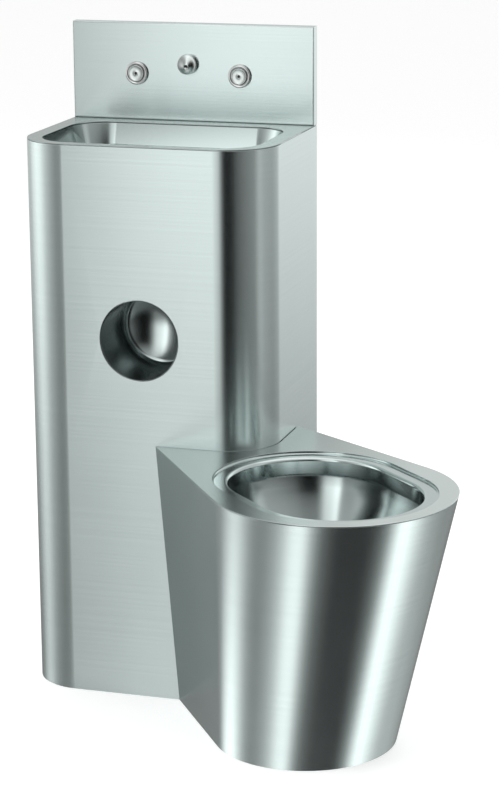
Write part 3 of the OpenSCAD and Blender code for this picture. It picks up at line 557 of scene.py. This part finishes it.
def makeSplashback():
    low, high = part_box("splashback")
    bend = splash["bend"]
    corners = [(low.x, low.z), (high.x, low.z), (high.x, high.z), (low.x, high.z)]
    turns = [math.radians(90 * i / splash["bendSteps"]) for i in range(splash["bendSteps"] + 1)]
    steps = [(bend * (1 - math.sin(a)), low.y + bend * (1 - math.cos(a))) for a in turns] + [(0, high.y)]
    bm = bmesh.new()
    face = sweepLoop(bm, [[(x, y, z) for x, z in insetPlan(corners, inset)] for inset, y in steps])[0]
    holes = [((x, splash["buttonZ"]), splash["shankHole"]) for x in splash["buttonX"]]
    holes.append(((splash["spoutX"], splash["spoutZ"]), splash["spoutHole"]))
    edges = [face[1]]
    for middle, radius in holes:
        ring = circle(middle, radius, splash["holeSteps"])
        edges.append(addLoop(bm, [(x, low.y, z) for x, z in ring])[1])
    fillFlat(bm, *edges)
    middle = (low + high) / 2
    finishPiece(bm, "splashTray", "stainless_satin", ["splashback"],
                focus=(middle.x, 0, middle.z), wall=column["sheet"])


# points on a smooth bend between two points, leaving and arriving along the lines to the knee
def bendPast(start, knee, end, steps):
    points = []
    for t in (i / steps for i in range(1, steps)):
        shares = ((1 - t) ** 2, 2 * t * (1 - t), t * t)
        points.append(tuple(sum(s * p[i] for s, p in zip(shares, (start, knee, end))) for i in (0, 1)))
    return points


# a turned cup with a dished end, its profile as radius and depth behind the column's front
def makeRecess():
    radius, straight, dish, lip = (recess[key] for key in ("radius", "straight", "dish", "mouthRound"))
    ball = (radius ** 2 + dish ** 2) / (2 * dish)
    ballAt = straight + dish - ball
    spread = math.degrees(math.asin((radius - recess["crease"]) / ball))
    profile = [(radius + recess["wall"], 0.0)]
    profile += arc((radius + lip, lip), lip, recess["mouthStart"], 180, recess["mouthSteps"])
    profile += [(radius, straight / 2), (radius, straight - recess["crease"])]
    dished = [(x, y) for y, x in arc((ballAt, 0), ball, spread, 0, recess["dishSteps"])]
    profile += bendPast(profile[-1], (radius, dished[0][1]), dished[0], recess["creaseSteps"]) + dished
    bm = bmesh.new()
    spinAt(bm, [(r, column["front"] + depth) for r, depth in profile], 0, recess["height"])
    end = column["front"] + straight
    shade = {"axis": 1, "from": end + recess["shadeFrom"], "to": end + recess["shadeTo"],
             "colour": recess["shade"]}
    finishPiece(bm, "rollRecess", "stainless_pressed", ["roll_recess"],
                focus=(0, column["front"] + straight / 2, recess["height"]), away=False,
                wall=recess["wall"],
                finish=makePressed("recessShadedSteel", rough=recess["rough"], shade=shade))


pan = {
    "height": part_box("pan_top")[1].z, "sheet": 0.002, "foldRound": 0.0004, "levels": 6,
    "flare": 10, "steps": 40,                        # degrees between each flat side and the axis
    "topReach": 0.380, "topRadius": 0.176, "footReach": 0.254, "footRadius": 0.135,
    "plateFront": 0.022, "plateBack": 0.029, "openingRadius": 0.140, "openingSteps": 36,
    "edge": 0.0008, "seam": 0.0009,
    # the plate's colour is paler than the steel's, a painted highlight, and it darkens towards the column, a
    # painted shade
    "colour": (0.90, 0.95, 0.94),
    "shade": (0.46, 0.51, 0.50), "shadeFrom": 0.02, "shadeTo": 0.24,    # right of the column
}
openingBack = pan["plateBack"] - column["corner"] * (math.sqrt(2) - 1)
openingHalf = (pan["topReach"] - pan["plateFront"] - openingBack) / 2 - pan["openingRadius"]
openingMiddle = openingBack + pan["openingRadius"] + openingHalf


# from the column's front face round the front of the pan to the column's side
def panPlan(height):
    share = height / pan["height"]
    radius = pan["footRadius"] + (pan["topRadius"] - pan["footRadius"]) * share
    middle = pan["footReach"] + (pan["topReach"] - pan["footReach"]) * share - radius
    flare = math.radians(pan["flare"])
    half = (radius / math.cos(flare) - middle * math.tan(flare)) / (1 + math.tan(flare))
    front = arc((middle, 0), radius, -90 - pan["flare"], 90 + pan["flare"], pan["steps"])
    return [panPoint(s, n, height) for s, n in [(-half, -half)] + front + [(-half, half)]]


def makePanShroud():
    bm = bmesh.new()
    top = pan["height"] - pan["sheet"]
    sweepLoop(bm, [panPlan(top * i / pan["levels"]) for i in range(pan["levels"] + 1)], closed=False)
    inside = panPoint(pan["footReach"] / 2, 0, pan["height"] / 2)
    finishPiece(bm, "panShroud", "stainless_satin", ["pan_shroud"],
                focus=inside, wall=pan["sheet"], edge=pan["foldRound"])


# a stadium along the pan's axis
def openingRing(radius, height, middle=openingMiddle, half=openingHalf):
    ends = arc((middle + half, 0), radius, -90, 90, pan["openingSteps"])
    ends += arc((middle - half, 0), radius, 90, 270, pan["openingSteps"])
    return [panPoint(s, n, height) for s, n in ends]


def makePanTop():
    seam = pan["seam"]
    outline = panPlan(pan["height"])
    outline[0].y -= seam
    outline[-1].x += seam
    plan = [(p.x, p.y) for p in outline] + columnCorner(1, seam)[::-1]
    rings = (lambda inset, z: atHeight(insetPlan(plan, inset), z),
             lambda inset, z: openingRing(pan["openingRadius"] + inset, z))
    bm = bmesh.new()
    addPlate(bm, rings, pan["height"], pan["height"] - pan["sheet"], pan["edge"])
    shade = {"axis": 0, "from": column["half"] + pan["shadeFrom"], "to": column["half"] + pan["shadeTo"],
             "colour": pan["shade"]}
    finishPiece(bm, "panPlate", "stainless_satin", ["pan_top"],
                finish=makePlate("panShadeAndHighlightSteel", pan["colour"], shade))


rim = {
    "underPlate": 0.0018, "ledge": 0.396, "curl": 0.0015, "curlStart": -15, "curlSteps": 5,
    "lip": 0.118, "lipRound": 0.006, "lipSteps": 10,
    "foot": 0.369, "footRound": 0.003, "footSteps": 6, "wallLow": 0.012,
    "sheet": 0.0015,
    # painted shade: the inner wall darkens towards its foot
    "shade": (0.22, 0.25, 0.25), "shadeFrom": 0.001, "shadeTo": -0.003,    # above the foot, under the ledge
}


# the sunk ledge, its rounded lip and the inner wall
def makeRim():
    outer, lip, ledge, foot = pan["openingRadius"], rim["lip"], rim["ledge"], rim["foot"]
    bend, curl, footRound = rim["lipRound"], rim["curl"], rim["footRound"]
    profile = [(outer, pan["height"] - rim["underPlate"]), (outer, ledge + curl)]
    profile += arc((outer - curl, ledge + curl), curl, rim["curlStart"], -90, rim["curlSteps"])
    profile += arc((lip + bend, ledge - bend), bend, 90, 180, rim["lipSteps"])
    profile.append((lip, foot + rim["wallLow"]))
    profile += arc((lip + footRound, foot + footRound), footRound, 180, 270, rim["footSteps"])
    bm = bmesh.new()
    sweepLoop(bm, [openingRing(r, z) for r, z in profile])
    shade = {"axis": 2, "from": foot + rim["shadeFrom"], "to": ledge + rim["shadeTo"], "colour": rim["shade"]}
    finishPiece(bm, "flushRim", "stainless_pressed", ["flush_rim"],
                focus=panPoint(openingMiddle, 0, overhead), away=False, wall=rim["sheet"], sharp=70,
                finish=makePressed("rimShadedSteel", shade=shade))


funnel = {
    "bandTop": 0.3945, "bandRadius": 0.138,
    "sumpAlong": 0.150, "sumpTop": 0.148, "sumpFoot": 0.118, "sumpRadius": 0.049, "sumpEase": 0.001,
    "lowRadius": 0.051, "sheet": 0.0015, "rings": 26,
    "levelShares": (1, 0.86, 0.66, 0.44, 0.22, 0.08, 0),
    "widthShares": (1, 0.91, 0.72, 0.485, 0.25, 0.1, 0),
    # painted shade under the rim: the funnel is darker at its top, fading out 22 mm down
    "shade": (0.36, 0.39, 0.39), "shadeDepth": 0.022,    # down from the rim's foot
}


# a smooth curve through the funnel's width shares
def smoothShare(level):
    levels, widths = funnel["levelShares"], funnel["widthShares"]
    spot = max(i for i in range(len(levels) - 1) if levels[i] >= level)
    before, after = max(spot - 1, 0), min(spot + 2, len(levels) - 1)
    span = levels[spot] - levels[spot + 1]
    t = (levels[spot] - level) / span
    slopeIn = (widths[spot + 1] - widths[before]) / (levels[before] - levels[spot + 1]) * span
    slopeOut = (widths[after] - widths[spot]) / (levels[spot] - levels[after]) * span
    a, b = widths[spot], widths[spot + 1]
    return (a * (2 * t ** 3 - 3 * t * t + 1) + slopeIn * (t ** 3 - 2 * t * t + t)
            + b * (3 * t * t - 2 * t ** 3) + slopeOut * (t ** 3 - t * t))


# the funnel below the rim, from a stadium down to the round sump
def makePanBowl():
    top, foot = rim["foot"], funnel["sumpTop"]
    rings = [openingRing(funnel["bandRadius"], funnel["bandTop"])]
    for i in range(funnel["rings"] + 1):
        level = 1 - i / funnel["rings"]
        wide = smoothShare(level)
        radius = funnel["lowRadius"] + (funnel["bandRadius"] - funnel["lowRadius"]) * wide
        middle = funnel["sumpAlong"] + (openingMiddle - funnel["sumpAlong"]) * wide
        rings.append(openingRing(radius, foot + (top - foot) * level, middle, openingHalf * wide))
    for height in (foot - funnel["sumpEase"], funnel["sumpFoot"]):
        rings.append(openingRing(funnel["sumpRadius"], height, funnel["sumpAlong"], 0))
    bm = bmesh.new()
    sweepLoop(bm, rings)
    shade = {"axis": 2, "from": top, "to": top - funnel["shadeDepth"], "colour": funnel["shade"]}
    finishPiece(bm, "panBowl", "stainless_pressed", ["pan_bowl"],
                focus=panPoint(openingMiddle, 0, overhead), away=False, wall=funnel["sheet"], sharp=70,
                finish=makePressed("funnelShadedSteel", shade=shade))


# ridges and grooves, whose places are shares of the pitch, between plain ends
thread = {"pitch": 0.002, "depth": 0.0008, "ridgeAt": 0.35, "grooveAt": 0.85, "plainEnd": 0.001}


def threadProfile(radius, start, end, pitch=thread["pitch"]):
    count = int((end - start) / pitch)
    pitch = (end - start) / count
    points = []
    for i in range(count):
        points.append((radius, start + pitch * (i + thread["ridgeAt"])))
        points.append((radius - thread["depth"], start + pitch * (i + thread["grooveAt"])))
    return points


button = {
    "headLength": 0.009, "rod": 0.004, "rough": 0.22,
    "round": 0.0009, "roundStart": 1.6, "roundDrop": 0.0001, "roundSteps": 4,
    "dish": 0.0006, "dishShape": ((0.45, 1.0), (0.8, 0.7)),    # shares of the radius and of the dish's depth
    "pit": 0.0024, "pitDepth": 0.0006, "pitLip": 0.0006,       # the round pit that holds the dot
    "pitEdge": 0.3, "pitLipEdge": 0.15, "dotFace": 0.2,        # shares of the dish's depth
    "dotFlat": 0.9, "dotGap": 0.00005, "dotRound": 0.0002, "dotThick": 0.0003, "dotSteps": 32,
}
bezel = {
    "play": 0.00006, "boreDepth": 0.0315, "mouthWidth": 0.0012, "mouthDepth": 0.0015,
    "round": 0.0022, "roundSteps": 8, "shank": 0.014, "tip": 0.0012,
}


# a turned button with a shallow dish and a dark dot, on a rod
def makeButton(name, x):
    low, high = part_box(name + "_button")
    z, head, front, back = splash["buttonZ"], (high.x - low.x) / 2, low.y, high.y
    pit, dish, soft, rod = button["pit"], button["dish"], button["round"], button["rod"]
    neck = front + button["headLength"]
    profile = [(0, front + button["pitDepth"]), (pit, front + button["pitDepth"])]
    profile.append((pit, front + dish * button["pitEdge"]))
    profile.append((pit + button["pitLip"], front + dish * button["pitLipEdge"]))
    profile += [(head * wide, front + dish * deep) for wide, deep in button["dishShape"]]
    profile.append((head - soft * button["roundStart"], front + button["roundDrop"]))
    profile += arc((head - soft, front + soft), soft, 270, 360, button["roundSteps"])
    profile += [(head, neck - soft), (head - soft, neck), (rod, neck)]
    profile += [(rod, back - soft), (rod - soft, back), (0, back)]
    bm = bmesh.new()
    spinAt(bm, profile, x, z)
    finishPiece(bm, name + "Button", "polished_steel", [name + "_button"], body=name + "_button", sharp=60,
                finish=makeTurned(name + "Turned", (x, 0, z), button["rough"]))
    dot, face = pit - button["dotGap"], front + dish * button["dotFace"]
    bm = bmesh.new()
    spinAt(bm, [(0, face), (pit * button["dotFlat"], face), (dot, face + button["dotRound"]),
                (dot, face + button["dotThick"]), (0, face + button["dotThick"])], x, z, button["dotSteps"])
    finishPiece(bm, name + "Dot", "black_rubber", body=name + "_button")


# the ring round the button and its threaded shank through the splashback
def makeBezel(name, x):
    low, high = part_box(name + "_bezel")
    headLow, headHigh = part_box(name + "_button")
    outer, face, end = (high.x - low.x) / 2, low.y, high.y
    hole, bore = (headHigh.x - headLow.x) / 2 + bezel["play"], button["rod"] + bezel["play"]
    root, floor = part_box("splashback")[0].y - splash["washer"], face + bezel["boreDepth"]
    soft, shank, plain = bezel["round"], bezel["shank"], thread["plainEnd"]
    profile = [(bore, floor), (hole, floor), (hole, face + bezel["mouthDepth"])]
    profile.append((hole + bezel["mouthWidth"], face))
    profile += arc((outer - soft, face + soft), soft, 270, 360, bezel["roundSteps"])
    profile += [(outer, root), (shank, root)]
    profile += threadProfile(shank, root + plain, end - plain)
    profile += [(shank - bezel["tip"], end), (bore, end)]
    bm = bmesh.new()
    spinAt(bm, profile + profile[:1], x, splash["buttonZ"])
    finishPiece(bm, name + "Bezel", "chrome_ring", [name + "_bezel"], sharp=60)


spring = {"wire": 0.0007, "turns": 7, "steps": 28, "sides": 10, "travel": 0.005}


# a coil of wire, as long as the spring's box
def makeSpring(name):
    low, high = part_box(name + "_spring")
    middle, wire = (low + high) / 2, spring["wire"]
    reach = (high.x - low.x) / 2 - wire
    count = spring["turns"] * spring["steps"]
    rise = (high.y - low.y - 2 * wire) / count
    bm = bmesh.new()
    start = Matrix.Translation((middle.x + reach, low.y + wire, middle.z))
    bmesh.ops.create_circle(bm, segments=spring["sides"], radius=wire, matrix=start)
    bmesh.ops.spin(bm, geom=bm.verts[:] + bm.edges[:], cent=middle, axis=(0, 1, 0), dvec=(0, rise, 0),
                   angle=2 * math.pi * spring["turns"], steps=count, use_merge=False)
    bmesh.ops.holes_fill(bm, edges=bm.edges[:], sides=0)
    piece = finishPiece(bm, name + "Spring", "spring_steel", [name + "_spring"], sharp=80)
    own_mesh(piece)


studs = {
    "frontRadius": 0.005, "wallRadius": 0.006, "pitch": 0.00175, "tip": 0.0012, "sides": 24,
    "collar": 0.002, "collarRadius": 0.010, "neck": 0.0006,
}


# four threaded studs, each with a collar that stands against the back of its rail
def makeStuds():
    low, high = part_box("wall_studs")
    front, wall, tip, pitch = (studs[key] for key in ("frontRadius", "wallRadius", "tip", "pitch"))
    reach, seat = studs["collarRadius"], -studs["collar"]
    profile = [(0, low.y), (front - tip, low.y), (front, low.y + tip)]
    profile += threadProfile(front, low.y + tip, seat, pitch)
    profile += [(front - studs["neck"], seat), (reach, seat), (reach, 0)]
    profile += [(wall, 0)] + threadProfile(wall, thread["plainEnd"], high.y - tip, pitch)
    profile += [(wall - tip, high.y), (0, high.y)]
    bm = bmesh.new()
    for x in (low.x + reach, high.x - reach):
        for z in (low.z + reach, high.z - reach):
            spinAt(bm, profile, x, z, studs["sides"])
    finishPiece(bm, "wallStuds", "zinc_steel", ["wall_studs"], sharp=50)


spout = {
    "base": 0.0155, "side": 0.0075, "shoulder": 0.8,
    "round": 0.0012, "roundStart": 75, "roundEnd": 15, "roundSteps": 4,
    "nose": 0.0046, "length": 0.0105, "drop": 0.0028, "coneSteps": 6, "conePower": 1.5,
    "outlet": 0.0030, "outletDepth": 0.0025, "outletRound": 0.0003, "outletRise": 0.0002, "sides": 64,
    "shank": 0.008, "tip": 0.001, "bore": 0.005, "boreDepth": 0.020,
    "shadeDiscGap": 0.0001, "shadeDiscLift": 0.0004, "shadeDiscThick": 0.0002, "shadeDiscSteps": 32,
    "rough": 0.2,
}


# a short turned nose whose outlet sits a little below the middle, on a threaded shank
def makeSpout():
    low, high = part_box("spout")
    x, z = (low.x + high.x) / 2, splash["spoutZ"]
    back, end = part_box("splashback")[0].y - splash["washer"], high.y
    base, side, bend, length = (spout[key] for key in ("base", "side", "round", "length"))
    outlet, soft = spout["outlet"], spout["outletRound"]
    # radius and how far out, from the splashback to the floor of the outlet
    steps = [(base, 0), (base, side - bend)]
    rounding = arc((side - bend, base - bend), bend, spout["roundStart"], spout["roundEnd"],
                   spout["roundSteps"])
    steps += [(r, out) for out, r in rounding]
    edge = base - bend * spout["shoulder"]
    for t in (i / spout["coneSteps"] for i in range(spout["coneSteps"] + 1)):
        steps.append((edge + (spout["nose"] - edge) * t, side + (length - side) * t ** spout["conePower"]))
    steps += [(outlet + soft, length + spout["outletRise"]), (outlet, length - soft)]
    steps.append((outlet, length - spout["outletDepth"]))
    rings = []
    for radius, out in steps:
        drop = spout["drop"] * max(out - side, 0) / (length - side)
        rings.append([(px, back - out, pz) for px, pz in circle((x, z - drop), radius, spout["sides"])])
    bm = bmesh.new()
    first, last = sweepLoop(bm, rings)
    fillFlat(bm, first[1])
    fillFlat(bm, last[1])
    shank, plain, floor = spout["shank"], thread["plainEnd"], end - spout["boreDepth"]
    profile = [(0, back), (shank, back)] + threadProfile(shank, back + plain, end - plain)
    profile += [(shank - spout["tip"], end), (spout["bore"], end), (spout["bore"], floor), (0, floor)]
    spinAt(bm, profile, x, z, spout["sides"])
    finishPiece(bm, "spoutNose", "polished_steel", ["spout"], sharp=50,
                finish=makeTurned("spoutTurned", (x, 0, z), spout["rough"]))
    # a black disc deep in the outlet: painted shade, for the dark of the hole
    wide, face = outlet - spout["shadeDiscGap"], back - length + spout["outletDepth"] - spout["shadeDiscLift"]
    rear = face + spout["shadeDiscThick"]
    bm = bmesh.new()
    spinAt(bm, [(0, face), (wide, face), (wide, rear), (0, rear)], x, z - spout["drop"], spout["shadeDiscSteps"])
    finishPiece(bm, "spoutShadeDisc", "black_rubber")


for make in (makeColumnShell, makeDeck, makeBowl, makeSplashback, makeRecess, makePanShroud, makePanTop,
             makeRim, makePanBowl, makeSpout, makeStuds):
    make()
for buttonName, buttonX in zip(("basin", "flush"), splash["buttonX"]):
    makeButton(buttonName, buttonX)
    makeBezel(buttonName, buttonX)
    makeSpring(buttonName)
print("pieces made")


# the CAD nodes that stay get the finish of their slot
for nodeName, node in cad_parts.items():
    slotName = node.material_slots[0].material.name.split(".")[0]
    if slotName not in finishes:
        print("no finish for", nodeName, slotName)
        continue
    for place in node.material_slots:
        place.material = finishes[slotName]
print("nodes finished")


# the studio: a pale floor, a white room, soft lamps and a ring of pale and dark screens for the steel.
# Stops are degrees round the unit from the front, positive to its right, with the level seen there. The
# high ones are seen by upright faces and the low ones by the pan, whose sides lean down.
studio = {
    "floorSize": 60.0,
    "floorColour": (0.86, 0.86, 0.86, 1),
    "floorRough": 0.9,
    "floorLift": 0.42,        # its own light, seen by the camera alone
    "roomLevel": 0.62,        # what lights the unit, where the camera and reflections see 1
    "ringRadius": 12.0,
    "ringLow": -34.0,
    "ringHigh": 16.0,
    "ringSides": 128,
    "peak": 3.0,
    "highStops": (
        (-180, 0.60), (-120, 0.70), (-108, 1.10), (-90, 1.50), (-78, 1.35), (-64, 0.85), (-50, 0.56),
        (-38, 0.36), (-28, 0.32), (-23.5, 0.36), (-21.9, 0.56), (-20.6, 1.08), (-19.3, 1.56), (-15.5, 1.42),
        (-12, 1.16), (-9, 1.05), (-2, 0.90), (4, 0.25), (9, 0.0), (19, 0.0), (28, 0.04), (36, 0.14),
        (55, 0.27), (76, 0.36), (87, 0.66), (100, 0.55), (125, 0.50), (148, 0.66), (160, 1.06),
        (170, 0.84), (180, 0.60)),
    "lowStops": (
        (-180, 0.46), (-135, 0.22), (-123, 0.28), (-117, 1.50), (-112, 2.80), (-97, 2.40), (-88, 1.10),
        (-76, 0.26), (-63, 0.20), (-53, 0.36), (-43, 0.56), (-34, 0.90), (-27, 1.35), (-15, 1.35),
        (-7, 0.46), (3, 0.14), (14, 0.05), (24, 0.0), (58, 0.0), (67, 0.02), (76, 0.06), (82, 0.36),
        (87, 1.5), (93, 1.85), (101, 1.60), (109, 1.20), (118, 0.80), (130, 0.56), (150, 0.60),
        (180, 0.46)),
    "highFoot": -5.0, "lowTop": -8.5,                          # heights between which high goes over to low
    "fadeTop": -0.5, "fadeFoot": -3.6, "fadeLevel": 0.30,      # the high stops get darker downwards
    "highTop": 4.5, "plainFoot": 9.0, "plainLevel": 0.2, "plainShare": 0.6,    # and plainer upwards
    "screenTint": (0.96, 1.0, 0.99, 1),
    "lamps": (                # name, place, size in metres and watts
        ("keyLamp", (-2.2, -2.6, 3.4), 3.0, 55),
        ("fillLamp", (3.0, -1.6, 2.6), 3.0, 28),
        ("backLamp", (0.5, 3.0, 3.0), 3.0, 30)),
    "lampAim": (0.1, -0.2, 0.45),
}
black = (0, 0, 0, 1)
white = (1, 1, 1, 1)


def addStage(bm, name, material):
    mesh = bpy.data.meshes.new(name)
    bm.to_mesh(mesh)
    bm.free()
    mesh.materials.append(material)
    thing = bpy.data.objects.new(name, mesh)
    bpy.context.scene.collection.objects.link(thing)
    return thing


def makeFloor():
    shader = Shader(bpy.data.materials.new("floorPaint"))
    seen = shader.add("ShaderNodeLightPath")    # by the camera
    shader.surface(
        Base_Color=studio["floorColour"],
        Roughness=studio["floorRough"],
        Emission_Color=shader.mixColour(seen, black, white),
        Emission_Strength=studio["floorLift"],
    )
    bm = bmesh.new()
    bmesh.ops.create_grid(bm, x_segments=1, y_segments=1, size=studio["floorSize"] / 2)
    floor = addStage(bm, "floor", shader.owner)
    floor.visible_glossy = False


def rampAround(shader, turn, stops):
    places = [(degrees / 360 + 0.5, level / studio["peak"]) for degrees, level in stops]
    return shader.add("ShaderNodeValToRGB", {"stops": places}, {0: turn})


def makeRing():
    shader = Shader(bpy.data.materials.new("ringScreens"))
    x, y, z = (shader.along(axis) for axis in range(3))
    turn = shader.maths("ARCTAN2", x, y * -1) / (2 * math.pi) + 0.5
    high = rampAround(shader, turn, studio["highStops"])
    low = rampAround(shader, turn, studio["lowStops"])
    fade = shader.fade(z, studio["fadeFoot"], studio["fadeTop"], studio["fadeLevel"])
    share = shader.fade(z, studio["highFoot"], studio["lowTop"])
    above = shader.fade(z, studio["highTop"], studio["plainFoot"], high=studio["plainShare"])
    level = shader.mixColour(share, shader.mixColour(fade, black, high), low)
    level = shader.mixColour(above, level, (*[studio["plainLevel"]] * 3, 1))
    level = shader.add("ShaderNodeMix", {"data_type": "RGBA", "blend_type": "MULTIPLY"}, {
        0: 1.0, 6: level, 7: studio["screenTint"]}, output=2)
    glow = shader.add("ShaderNodeEmission", None, {"Color": level, "Strength": studio["peak"]})
    shader.add("ShaderNodeOutputMaterial", None, {"Surface": glow})
    bm = bmesh.new()
    ring = bmesh.ops.create_circle(bm, segments=studio["ringSides"], radius=studio["ringRadius"])
    bmesh.ops.translate(bm, verts=ring["verts"], vec=(0, 0, studio["ringLow"]))
    made = bmesh.ops.extrude_edge_only(bm, edges=bm.edges[:])["geom"]
    raised = [g for g in made if isinstance(g, bmesh.types.BMVert)]
    bmesh.ops.translate(bm, verts=raised, vec=(0, 0, studio["ringHigh"] - studio["ringLow"]))
    screens = addStage(bm, "ringScreens", shader.owner)
    shader.owner.cycles.emission_sampling = "NONE"
    screens.visible_camera = False
    screens.visible_diffuse = False
    screens.visible_shadow = False
    screens.visible_transmission = False


def makeLamps():
    for name, place, size, power in studio["lamps"]:
        data = bpy.data.lights.new(name, "AREA")
        data.shape = "DISK"
        data.size = size
        data.energy = power
        lamp = bpy.data.objects.new(name, data)
        bpy.context.scene.collection.objects.link(lamp)
        lamp.location = place
        aim = Vector(studio["lampAim"]) - Vector(place)
        lamp.rotation_euler = aim.to_track_quat("-Z", "Y").to_euler()
        lamp.visible_glossy = False


# white to the camera, to reflections and through glass, dimmer as a light
def makeRoom():
    world = bpy.data.worlds.new("room")
    bpy.context.scene.world = world
    shader = Shader(world)
    camera, glossy, transmission = (shader.add("ShaderNodeLightPath", output=i) for i in (0, 3, 6))
    seen = shader.maths("MAXIMUM", camera, shader.maths("MAXIMUM", glossy, transmission))
    level = seen * (1 - studio["roomLevel"]) + studio["roomLevel"]
    glow = shader.add("ShaderNodeBackground", None, {"Color": white, "Strength": level})
    shader.add("ShaderNodeOutputWorld", None, {"Surface": glow})


makeCamera(cameraSetup)
makeFloor()
makeRing()
makeLamps()
makeRoom()
bpy.context.scene.view_settings.view_transform = "Standard"
print("studio ready")
